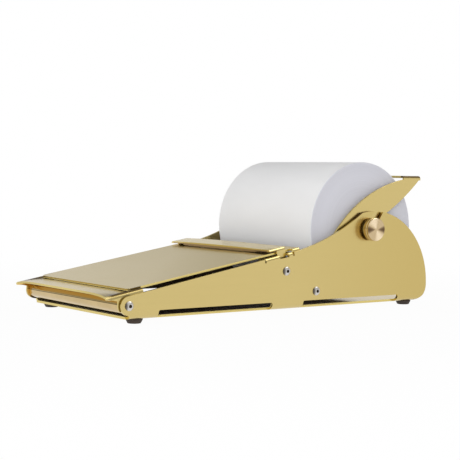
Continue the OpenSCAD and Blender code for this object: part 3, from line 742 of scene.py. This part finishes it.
def cut_faces(work, thickest):
    """True for each face with more metal behind it than a sheet is thick, which is a cut edge."""
    tree = BVHTree.FromBMesh(work)
    hits = [tree.ray_cast(face.calc_center_median() - SHEET_WELD * face.normal, -face.normal, 0.5)
            for face in work.faces]
    return np.array([hit[3] is None or hit[3] > thickest for hit in hits])


def finished_sheet(node_name, mesh, cut, material, settings):
    """A sheet in place of its node, with its cut edges marked and lightly rounded."""
    mark_faces(mesh, "cut", cut)
    mesh.shade_smooth()
    mesh.set_sharp_from_angle(angle=SHEET_CREASE)
    piece = set_piece(node_name + "_sheet", mesh, material, [node_name])
    edge = piece.modifiers.new("edge_rounding", "BEVEL")
    edge.width = settings.edge_round
    edge.segments = 2
    edge.limit_method = "ANGLE"
    edge.angle_limit = ROUNDED_FROM
    edge.harden_normals = True
    return piece


def sheet_piece(node_name, material, settings):
    """A folded sheet: the solid's own faces, merged."""
    mesh = frame["nodes"][node_name].data.copy()
    mesh.name = node_name + "_sheet"
    work = bmesh.new()
    work.from_mesh(mesh)
    bmesh.ops.remove_doubles(work, verts=work.verts, dist=SHEET_WELD)
    bmesh.ops.dissolve_limit(work, angle_limit=FLAT_WITHIN, verts=work.verts, edges=work.edges)
    work.normal_update()
    cut = cut_faces(work, settings.thickest)
    work.to_mesh(mesh)
    work.free()
    return finished_sheet(node_name, mesh, cut, material, settings)


class DISPENSER_OT_stage(bpy.types.Operator):
    """Camera, white room, floor and soft lights"""
    bl_idname = "dispenser.stage"
    bl_label = "Studio"

    # Each light's setting, its place and width in metres, and the rays that do not see it
    LIGHTS = (("key", (-0.35, -1.15, 0.22), 0.9, "visible_glossy"),
              ("fill", (0.95, -0.75, 0.22), 0.6, "visible_glossy"),
              ("strip", (0.09, 0.61, 0.98), 0.6, "visible_diffuse"))
    AIM = (0, 0.02, 0.03)
    # Half the floor, and where its shade ends, in metres
    FLOOR_HALF = 4.0
    SHADE_ENDS = (0.1, 0.4)
    # Steps in the direction of a ray, forwards for the first and upwards for the rest
    FRONT = (-0.1, 0.3)
    DUSK = (0.17, 0.45)
    OVERHEAD = (0.6, 0.95)
    FLAG_FOOT = (0.1, 0.14)
    FLAG_TOP = (0.2, 0.26)
    LID = (0.1, 0.9)
    # Share of the lid by which the light on dull surfaces is raised all over
    LID_LIFT = 0.15

    def execute(self, context):
        stage = context.scene.dispenser.stage
        context.scene.view_settings.view_transform = "Standard"
        self.camera(context.scene, stage)
        self.room(context.scene, stage)
        self.floor(context.scene, stage)
        for name, place, width, unseen in self.LIGHTS:
            light = self.soft_light(context.scene, name + "_light", getattr(stage, name), place, width)
            setattr(light, unseen, False)
        return {"FINISHED"}

    def camera(self, scene, stage):
        """Camera at the eye, looking along its heading and pitch."""
        lens = bpy.data.cameras.new("view")
        lens.sensor_width = 36
        lens.lens = stage.lens
        lens.clip_start = 0.01
        forward = Vector((-math.cos(stage.heading) * math.cos(stage.pitch),
                          math.sin(stage.heading) * math.cos(stage.pitch), -math.sin(stage.pitch)))
        turn = forward.to_track_quat("-Z", "Y").to_matrix() @ Matrix.Rotation(stage.roll, 3, "Z")
        eye = bpy.data.objects.new("view", lens)
        eye.matrix_world = Matrix.Translation(stage.eye) @ turn.to_4x4()
        scene.collection.objects.link(eye)
        scene.camera = eye

    def seen_rays(self, tree):
        """Outputs of a light path, and 1 for rays from the camera, off mirrors and through glass."""
        rays = Wire.node(tree, "ShaderNodeLightPath").socket.node.outputs
        seen = Wire(tree, rays["Is Camera Ray"]).maths("MAXIMUM", Wire(tree, rays["Is Glossy Ray"]))
        return rays, seen.maths("MAXIMUM", Wire(tree, rays["Is Transmission Ray"]))

    def room(self, scene, stage):
        """White walls to the camera and to mirrors, dusky above them, with a dark flag in front. A softer
        light on dull surfaces, less of it from overhead."""
        scene.world = bpy.data.worlds.new("white_room")
        scene.world.use_nodes = True
        tree = scene.world.node_tree
        tree.nodes.clear()
        rays, seen = self.seen_rays(tree)
        seen = seen * (1 - Wire(tree, rays["Diffuse Depth"]).maths("MINIMUM", 1))
        way = Wire.node(tree, "ShaderNodeTexCoord", out="Generated")
        split = Wire.node(tree, "ShaderNodeSeparateXYZ", None, {"Vector": way}).socket.node.outputs
        ahead, rise = Wire(tree, split["Y"]) * -1, Wire(tree, split["Z"])
        behind = 1 - ahead.smooth(*self.FRONT)
        dusk = (rise.smooth(*self.DUSK) * stage.dusk - rise.smooth(*self.OVERHEAD) * stage.overhead) * behind
        flag = (1 - behind) * rise.smooth(*self.FLAG_FOOT) * (1 - rise.smooth(*self.FLAG_TOP)) * stage.flag
        dull = (1 + stage.lid * self.LID_LIFT - rise.smooth(*self.LID) * stage.lid) * stage.ambient
        strength = seen * (1 - dusk - flag) + (1 - seen) * dull
        light = Wire.node(tree, "ShaderNodeBackground", None, {"Color": (1, 1, 1, 1), "Strength": strength})
        Wire.node(tree, "ShaderNodeOutputWorld", None, {"Surface": light})

    def floor(self, scene, stage):
        """Pale floor that is white to the camera and to mirrors, and keeps the object's shadow."""
        corner = np.array([[-1, -1, 0], [1, -1, 0], [1, 1, 0], [-1, 1, 0]]) * self.FLOOR_HALF
        mesh = bpy.data.meshes.new("floor")
        mesh.from_pydata(corner.tolist(), [], [(0, 1, 2, 3)])
        made = Finish("studio_floor")
        _, seen = self.seen_rays(made.tree)
        x, y, _ = made.axes()
        away = ((x ** 2 + y ** 2) ** 0.5).smooth(*self.SHADE_ENDS)
        dull = made.node("ShaderNodeBsdfDiffuse", None, {"Color": rgba(stage.floor)})
        white = made.node("ShaderNodeEmission", None, {"Color": (1, 1, 1, 1), "Strength": 1.0})
        share = seen * (1 - (1 - away) * stage.shade)
        both = made.node("ShaderNodeMixShader", None, {0: share, 1: dull, 2: white})
        made.node("ShaderNodeOutputMaterial", None, {"Surface": both})
        mesh.materials.append(made.material)
        ground = bpy.data.objects.new("floor", mesh)
        scene.collection.objects.link(ground)

    def soft_light(self, scene, name, power, place, size):
        """A square soft light aimed at the middle of the object."""
        lamp = bpy.data.lights.new(name, "AREA")
        lamp.energy = power
        lamp.size = size
        light = bpy.data.objects.new(name, lamp)
        light.location = place
        aim = Vector(self.AIM) - Vector(place)
        light.rotation_mode = "QUATERNION"
        light.rotation_quaternion = aim.to_track_quat("-Z", "Y")
        light.visible_camera = False
        scene.collection.objects.link(light)
        return light


class DISPENSER_OT_sheets(bpy.types.Operator):
    """Chassis, deck, hold-down bar and bail of folded sheet"""
    bl_idname = "dispenser.sheets"
    bl_label = "Folded sheets"

    def execute(self, context):
        sheet = context.scene.dispenser.sheet
        # Painted shade inside the body, towards its rear and on its slot walls; painted shade on the bail's
        # bends, the deck's underside and corners and the bar's wall; a painted highlight on the bar's top
        body = satin_brass("satin_brass_body", sheet, 0.0, shaded_inside_chassis, rear_shade=True, shade_patch=shaded_slot_walls,
                           shade_patch_skin=sheet.slot)
        level = satin_brass("satin_brass", sheet, 0.0, shade_patch=shaded_strip)
        deck = satin_brass("satin_brass_deck", sheet, sheet.deck_tilt, shaded_deck_underside, shade_patch=shaded_corners)
        raked = satin_brass("satin_brass_bar", sheet, sheet.deck_tilt, lit_bar_top, sheet.top, shade_patch=shaded_bar_wall,
                            shade_patch_skin=sheet.wall)
        for node_name, material in (("chassis", body), ("roll_bail", level), ("writing_deck", deck),
                                    ("paper_bar", raked)):
            sheet_piece(node_name, material, sheet)
        return {"FINISHED"}


class DISPENSER_OT_tear_plate(bpy.types.Operator):
    """Arched tear plate with its two ears"""
    bl_idname = "dispenser.tear_plate"
    bl_label = "Tear plate"

    # Rows of points in front of the ears, along a quarter of an ear's round, across the lip and down an ear
    FRONT_ROWS, ROUND_ROWS, ACROSS, DOWN = 14, 22, 65, 25

    def execute(self, context):
        lip = context.scene.dispenser.lip
        sheet = context.scene.dispenser.sheet
        # The lip has a painted reflection under it and painted shade on its bends, ends and ears
        brass = satin_brass("satin_brass_lip", sheet, sheet.lip_tilt, reflected_lip_underside, lip.under,
                            shade_patch=shaded_bends(lip))
        outer, inner = self.skins(lip)
        rows, across = outer.shape[:2]
        points = np.concatenate([outer.reshape(-1, 3), inner.reshape(-1, 3)])
        top = np.arange(rows * across).reshape(rows, across)
        low = top + rows * across
        skin = self.quads(top)
        under = self.quads(low)[:, ::-1]
        borders = ((np.s_[0], 1), (np.s_[-1], -1), (np.s_[:, 0], -1), (np.s_[:, -1], 1))
        rims = [np.stack([top[at][:-1], low[at][:-1], low[at][1:], top[at][1:]], axis=-1)[:, ::way]
                for at, way in borders]
        faces = np.vstack([skin, under, *rims])
        mesh = bpy.data.meshes.new("tear_plate_sheet")
        mesh.from_pydata(points.tolist(), [], faces.tolist())
        # The layer is 0 for faces of the upper skin, 1 for the lower skin and more for the rims
        layer = np.arange(len(faces)) // len(skin)
        mark_faces(mesh, "under", layer == 1)
        finished_sheet("tear_plate", mesh, layer > 1, brass, sheet)
        return {"FINISHED"}

    def quads(self, grid):
        """Faces between the rows of a grid of points."""
        return np.stack([grid[:-1, :-1], grid[:-1, 1:], grid[1:, 1:], grid[1:, :-1]], axis=-1).reshape(-1, 4)

    def skins(self, lip):
        """Upper and lower skin. Across the lip the height runs straight from the crowned front edge, its
        ends lower by the crown times share^8, to the rear edge, its ends higher by the upturn times
        share^44. Beyond the lip a drop d turns through the angle a with cos a = 1 - d / bend, up to a right
        angle. The lower skin lies a thickness along the normal (sin a, 0, cos a) inside the upper one."""
        low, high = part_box("tear_plate")
        run = high.x - lip.bend
        y = np.concatenate([np.linspace(low.y, BAR_AXIS.y - lip.ear, self.FRONT_ROWS),
                            BAR_AXIS.y - lip.ear * np.cos(np.linspace(0, np.pi / 2, self.ROUND_ROWS))[1:],
                            np.linspace(BAR_AXIS.y, high.y, self.ROUND_ROWS)[1:]])
        t = ((y - low.y) / (high.y - low.y))[:, None]
        end = high.z - lip.fall * (1 - t)
        x = run * np.sin(np.linspace(-np.pi / 2, np.pi / 2, self.ACROSS))
        share = np.abs(x) / run
        front = end[0] + lip.crown * (1 - share ** 8)
        back = end[-1] - lip.upturn * (1 - share ** 44)
        height = front + (back - front) * t
        depth = self.ear_depth(lip, y, end[:, 0], low, high)
        drop = depth[:, None] * np.linspace(0, 1, self.DOWN)[1:]
        turn = np.arccos(np.clip(1 - drop / lip.bend, 0, 1))
        side = run + lip.bend * np.sin(turn)
        xs = np.hstack([-side[:, ::-1], np.broadcast_to(x, height.shape), side])
        zs = np.hstack([(end - drop)[:, ::-1], height, end - drop])
        angle = np.hstack([-turn[:, ::-1], np.zeros(height.shape), turn])
        outer = np.stack([xs, np.broadcast_to(y[:, None], xs.shape), zs], axis=-1)
        normal = np.stack([np.sin(angle), np.zeros(xs.shape), np.cos(angle)], axis=-1)
        return outer, outer - lip.thick * normal

    def ear_depth(self, lip, y, end, low, high):
        """Depth of the ears below the ends of the lip: a slanting front edge, a round about the screw cut
        flat below, and a straight rear edge."""
        off = y - BAR_AXIS.y
        round_low = BAR_AXIS.z - np.sqrt(np.maximum(lip.ear ** 2 - off ** 2, 0))
        ear = end - np.maximum(round_low, low.z)
        slant = np.interp(off, [low.y - BAR_AXIS.y, -lip.ear], [lip.thick, lip.throat])
        rear_start = end[np.searchsorted(off, lip.ear)] - BAR_AXIS.z
        rear = np.interp(off, [lip.ear, high.y - BAR_AXIS.y], [rear_start, lip.rear_ear])
        return np.where(off <= -lip.ear, slant, np.where(off >= lip.ear, rear, ear))


class DISPENSER_OT_front_bar(bpy.types.Operator):
    """Turned bar between the noses"""
    bl_idname = "dispenser.front_bar"
    bl_label = "Front bar"

    CHAMFER = 0.4 * MM

    def execute(self, context):
        turned = context.scene.dispenser.turned
        low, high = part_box("front_bar")
        end, radius = high.x, (high.z - low.z) / 2
        half = [(end - self.CHAMFER, radius), (end, radius - self.CHAMFER), (end, 0)]
        profile = softened(whole(half), turned.softness)
        bar = lathed(profile, (0, BAR_AXIS.y, BAR_AXIS.z), (1, 0, 0), turned.sides)
        # The bar's upper side takes a painted reflection of the shaded lip
        brass = ringed_brass("turned_brass_bar", turned, BAR_AXIS.z + turned.shade_rise)
        turned_piece("front_bar_turned", [bar], brass, "front_bar")
        return {"FINISHED"}


class DISPENSER_OT_axle(bpy.types.Operator):
    """Stepped axle and the washers that run on it"""
    bl_idname = "dispenser.axle"
    bl_label = "Axle and washers"

    # Bore and thickness of a washer, and how far its rim stays inside that of its node
    SPACER = (2.75 * MM, 0.8 * MM, 0)
    KNOB_WASHER = (2.05 * MM, 0.6 * MM, 0.3 * MM)
    WASHER_EDGE = 0.1 * MM
    WASHERS = (("thrust_washers", (1, -1), SPACER), ("bail_spacers", (1, -1), SPACER),
               ("knob_washer_right", (1,), KNOB_WASHER), ("knob_washer_left", (-1,), KNOB_WASHER))
    # Radii of journal and stud, and how far a journal ends inside its plate's outer face
    JOURNAL, STUD, JOURNAL_SHORT = 2.7 * MM, 2 * MM, 0.2 * MM

    def execute(self, context):
        turned = context.scene.dispenser.turned
        self.spindle(turned, ringed_brass("turned_brass", turned))
        pale = nylon(context.scene.dispenser.fittings)
        for node_name, ways, sizes in self.WASHERS:
            rings = [self.ring(node_name, way, turned, *sizes) for way in ways]
            turned_piece(node_name + "_moulded", rings, pale, node_name)
        return {"FINISHED"}

    def spindle(self, turned, brass):
        """Stepped shaft from stud to stud."""
        low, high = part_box("axle")
        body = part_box("thrust_washers")[1].x - self.SPACER[1]
        journal = PLATE_FACE - self.JOURNAL_SHORT
        half = [(body, (high.z - low.z) / 2), (body, self.JOURNAL), (journal, self.JOURNAL),
                (journal, self.STUD), (high.x, self.STUD), (high.x, 0)]
        shaft = on_axle(softened(whole(half), turned.softness), turned.sides)
        turned_piece("axle_turned", [shaft], brass, "axle")

    def ring(self, node_name, way, turned, bore, thick, shy):
        """One washer, its outer face at the outer end of its node."""
        low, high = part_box(node_name)
        outer, radius = max(abs(low.x), abs(high.x)), (high.z - low.z) / 2 - shy
        inner = outer - thick
        profile = [(outer, bore), (outer, radius), (inner, radius), (inner, bore), (outer, bore)]
        return on_axle(softened(profile, self.WASHER_EDGE), turned.sides, way)


class DISPENSER_OT_knobs(bpy.types.Operator):
    """Turned clamping knobs"""
    bl_idname = "dispenser.knobs"
    bl_label = "Knobs"

    POINTS_A_RING = 4

    def execute(self, context):
        turned = context.scene.dispenser.turned
        low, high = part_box("knob_right")
        brass = fanned_brass(turned, ROLL_AXIS, low.x, high.x)
        profile = self.section(turned, low.x, high.x, (high.z - low.z) / 2)
        for node_name, way in (("knob_right", 1), ("knob_left", -1)):
            turned_piece(node_name + "_turned", [on_axle(profile, turned.sides, way)], brass, node_name)
        return {"FINISHED"}

    def section(self, turned, seat, face, radius):
        """Hub, grooved rim and turned face. The rings of the face lie below it by the groove depth times
        (1 - cos 2 pi n u) / 2, with n rings and u the way from rim to centre as a share."""
        head, middle, half = seat + turned.hub_long, face - turned.rim_groove, turned.rim_groove_half
        inner = radius - turned.chamfer
        corners = [(seat, 0), (seat, turned.hub), (head, turned.hub), (head, inner),
                   (head + turned.chamfer, radius), (middle - half, radius), (middle, radius - half),
                   (middle + half, radius), (face - turned.chamfer, radius), (face, inner),
                   (face, inner - turned.ring)]
        rim = softened(corners, turned.softness)
        rings = round((inner - turned.ring - turned.dimple) / turned.ring)
        u = np.linspace(0, 1, self.POINTS_A_RING * rings + 1)
        depth = turned.groove * (1 - np.cos(2 * np.pi * rings * u)) / 2
        reach = inner - turned.ring + (turned.dimple - inner + turned.ring) * u
        centre = [(face - 0.5 * turned.dimple, 0)]
        return np.vstack([rim, np.stack([face - depth, reach], axis=1)[1:], centre])


class DISPENSER_OT_screws(bpy.types.Operator):
    """Button head screws and their nuts"""
    bl_idname = "dispenser.screws"
    bl_label = "Screws and nuts"

    # Points round a screw, over its dome and round a nut
    SCREW_SIDES, DOME_ROWS, NUT_SIDES = 72, 12, 48
    # How far a deck screw reaches inside its plate's outer face, and where its nut's outer face is
    DECK_REACH, NUT_SEAT = 4.05 * MM, 2.25 * MM
    # Point of the drill in a socket, chamfer of its mouth, rounding of a head's rim and chamfer of a shank
    DRILL, MOUTH, RIM, TIP = 0.15 * MM, 0.06 * MM, 0.1 * MM, 0.3 * MM
    # Flats at a socket's mouth, start of the dome and reach of the corners, as shares of half the socket
    MOUTH_WIDE, DOME_START, CORNERS = 1.08, 1.35, 1.14
    # Depth of the painted shade on a head's front rim, and where it comes in as shares of the radius
    CRESCENT, CRESCENT_WAY = 0.85, (0.4, 0.8)

    def execute(self, context):
        fittings = context.scene.dispenser.fittings
        steel = screw_steel(fittings)
        nuts = []
        for node_name, reach in (("tear_plate_screws", fittings.bar_reach),
                                 ("deck_upper_screws", self.DECK_REACH),
                                 ("deck_lower_screws", self.DECK_REACH)):
            low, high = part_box(node_name)
            centre, radius = (low + high) / 2, (high.z - low.z) / 2
            profile, hexed = self.screw(fittings, radius, reach)
            screws = both_ends(profile, centre.y, centre.z, self.SCREW_SIDES, hexed)
            piece = turned_piece(node_name + "_bright", screws, steel, node_name)
            self.mark_socket_shade(piece.data, centre, radius, fittings)
            if node_name.startswith("deck"):
                profile, hexed = self.nut(PLATE_FACE - self.NUT_SEAT)
                nuts += both_ends(profile, centre.y, centre.z, self.NUT_SIDES, hexed)
        turned_piece("deck_nuts_bright", nuts, steel, "deck_nuts")
        return {"FINISHED"}

    def screw(self, fittings, radius, reach):
        """Socket floor, hexagon walls, domed head and shank. The dome's height over the plate is its top less
        R - sqrt(R^2 - r^2), with R the radius of the sphere through its rim."""
        dome = fittings.head_high - fittings.head_rim
        sphere = (radius ** 2 + dome ** 2) / (2 * dome)
        flat = fittings.socket / 2
        bottom = fittings.head_high - fittings.socket_deep
        r = np.linspace(self.DOME_START * flat, radius, self.DOME_ROWS)
        bow = np.stack([fittings.head_high - sphere + np.sqrt(sphere ** 2 - r ** 2), r], axis=1)
        mouth = bow[0, 0]
        start = np.array([[bottom - self.DRILL, 0], [bottom, flat], [mouth - self.MOUTH, flat],
                          [mouth, self.MOUTH_WIDE * flat]])
        shank = fittings.shank / 2
        rest = np.array([[fittings.head_rim - self.RIM, radius], [0, radius - self.RIM], [0, shank],
                         [self.TIP - reach, shank], [-reach, shank - self.TIP], [-reach, 0]])
        profile = np.vstack([start, bow, rest])
        profile[:, 0] += PLATE_FACE
        hexed = np.zeros(len(profile))
        hexed[1:4] = 1
        return profile, hexed

    def mark_socket_shade(self, mesh, centre, radius, fittings):
        """Painted shade: 1 for each face of a socket, nearer the axis than the socket's corners and outside
        the plate. The front rim of a head has a painted shade whose share grows from 0 to the crescent's
        depth along its way in front of the axis."""
        middles = np.empty(3 * len(mesh.polygons))
        mesh.polygons.foreach_get("center", middles)
        x, y, z = middles.reshape(-1, 3).T
        near = np.hypot(y - centre.y, z - centre.z) < self.CORNERS * fittings.socket / 2
        crescent = np.interp((centre.y - y) / radius, self.CRESCENT_WAY, (0, self.CRESCENT))
        value = np.where(near, 1, crescent) * (np.abs(x) > PLATE_FACE)
        mark_faces(mesh, "recess", value)

    def nut(self, face):
        """Hexagon with chamfered ends round a bore."""
        thick, flat, bore, chamfer = 1.8 * MM, 2.5 * MM, 1.28 * MM, 0.25 * MM
        rim, back = 0.95 * flat, face - thick
        profile = np.array([(face, bore), (face, rim), (face - chamfer, flat), (back + chamfer, flat),
                            (back, rim), (back, bore), (face, bore)])
        return profile, [0, 0.3, 1, 1, 0.3, 0, 0]


class DISPENSER_OT_roll(bpy.types.Operator):
    """Paper roll on its cardboard core"""
    bl_idname = "dispenser.roll"
    bl_label = "Paper roll"

    # Gap between paper and core, the core's wall and the rounding of its edges
    SLACK, WALL, CORE_EDGE = 0.05 * MM, 3 * MM, 0.15 * MM
    # Points round the paper, over its ends and round its rims
    SIDES, END_ROWS, RIM_ROWS = 180, 60, 6

    def execute(self, context):
        roll = context.scene.dispenser.roll
        turned = context.scene.dispenser.turned
        low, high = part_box("paper_roll")
        half, outer = high.x, (high.z - low.z) / 2
        inner = (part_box("roll_core")[1].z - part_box("roll_core")[0].z) / 2
        wound = on_axle(self.winding(roll, half, inner + self.SLACK, outer), self.SIDES)
        turned_piece("paper_roll_wound", [wound], memo_paper(roll, half), "paper_roll")
        bore = inner - self.WALL
        ring = [(half, bore), (half, inner), (-half, inner), (-half, bore), (half, bore)]
        core = on_axle(softened(ring, self.CORE_EDGE), turned.sides)
        turned_piece("roll_core_card", [core], core_card(roll), "roll_core")
        return {"FINISHED"}

    def winding(self, roll, half, inner, outer):
        """Ring section whose ends wander in and out a little: the depth of an end is the wander times
        (1 + sin 9u sin 23u) / 2, with u the radius from the core to the rim as a share."""
        u = np.linspace(0, 1, self.END_ROWS)
        radius = inner + (outer - roll.rim - inner) * u
        dip = roll.wander * (1 + np.sin(9 * u) * np.sin(23 * u)) / 2
        right = np.stack([half - dip, radius], axis=1)
        t = np.linspace(0, np.pi / 2, self.RIM_ROWS)[1:]
        bend = np.stack([half - dip[-1] - roll.rim * (1 - np.cos(t)),
                         outer - roll.rim * (1 - np.sin(t))], axis=1)
        upper = np.vstack([right, bend])
        lower = upper[::-1] * (-1, 1)
        return np.vstack([upper, lower, upper[:1]])


class DISPENSER_OT_feet(bpy.types.Operator):
    """Push-in rubber feet"""
    bl_idname = "dispenser.feet"
    bl_label = "Feet"

    # Heights of the pad, of its straight band and of the neck over it, then the radii of neck and barb
    PAD, BAND, NECK_HIGH, NECK, BARB = 2.35 * MM, 0.6 * MM, 1.2 * MM, 1.5 * MM, 2 * MM
    # Rounding of the edges, points round a foot, and the sole's radius as a share of the pad's
    EDGE, SIDES, SOLE = 0.25 * MM, 72, 0.775

    def execute(self, context):
        rubber = foot_rubber(context.scene.dispenser.fittings)
        for node_name in ("foot_front_right", "foot_front_left", "foot_rear_right", "foot_rear_left"):
            low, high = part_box(node_name)
            centre, radius = (low + high) / 2, (high.x - low.x) / 2
            barb = self.PAD + self.NECK_HIGH
            corners = [(0, 0), (0, self.SOLE * radius), (self.PAD - self.BAND, radius), (self.PAD, radius),
                       (self.PAD, self.NECK), (barb, self.NECK), (barb, self.BARB), (high.z, self.NECK),
                       (high.z, 0)]
            pad = lathed(softened(corners, self.EDGE), (centre.x, centre.y, low.z), (0, 0, 1), self.SIDES)
            turned_piece(node_name + "_rubber", [pad], rubber, node_name)
        return {"FINISHED"}


class DISPENSER_PT_panel(bpy.types.Panel):
    """Pieces of the dispenser in the order they are made"""
    bl_idname = "DISPENSER_PT_panel"
    bl_label = "Memo roll dispenser"
    bl_space_type = "VIEW_3D"
    bl_region_type = "UI"
    bl_category = "Dispenser"

    def draw(self, context):
        for operator in OPERATORS:
            self.layout.operator(operator.bl_idname)
        for group in DispenserSettings.__annotations__:
            settings = getattr(context.scene.dispenser, group)
            box = self.layout.box()
            box.label(text=group.capitalize())
            for name in settings.__annotations__:
                box.prop(settings, name)


GROUPS = (DispenserSheet, DispenserLip, DispenserTurned, DispenserFittings, DispenserRoll, DispenserStage,
          DispenserSettings)
OPERATORS = (DISPENSER_OT_stage, DISPENSER_OT_sheets, DISPENSER_OT_tear_plate, DISPENSER_OT_front_bar,
             DISPENSER_OT_axle, DISPENSER_OT_knobs, DISPENSER_OT_screws, DISPENSER_OT_roll, DISPENSER_OT_feet)


def register():
    for made in (*GROUPS, *OPERATORS, DISPENSER_PT_panel):
        bpy.utils.register_class(made)
    bpy.types.Scene.dispenser = PointerProperty(type=DispenserSettings)


def unregister():
    del bpy.types.Scene.dispenser
    for made in (DISPENSER_PT_panel, *reversed(OPERATORS), *reversed(GROUPS)):
        bpy.utils.unregister_class(made)


def main():
    register()
    bpy.ops.dispenser.stage()
    bpy.ops.dispenser.sheets()
    bpy.ops.dispenser.tear_plate()
    bpy.ops.dispenser.front_bar()
    bpy.ops.dispenser.axle()
    bpy.ops.dispenser.knobs()
    bpy.ops.dispenser.screws()
    bpy.ops.dispenser.roll()
    bpy.ops.dispenser.feet()


if __name__ == "__main__":
    main()
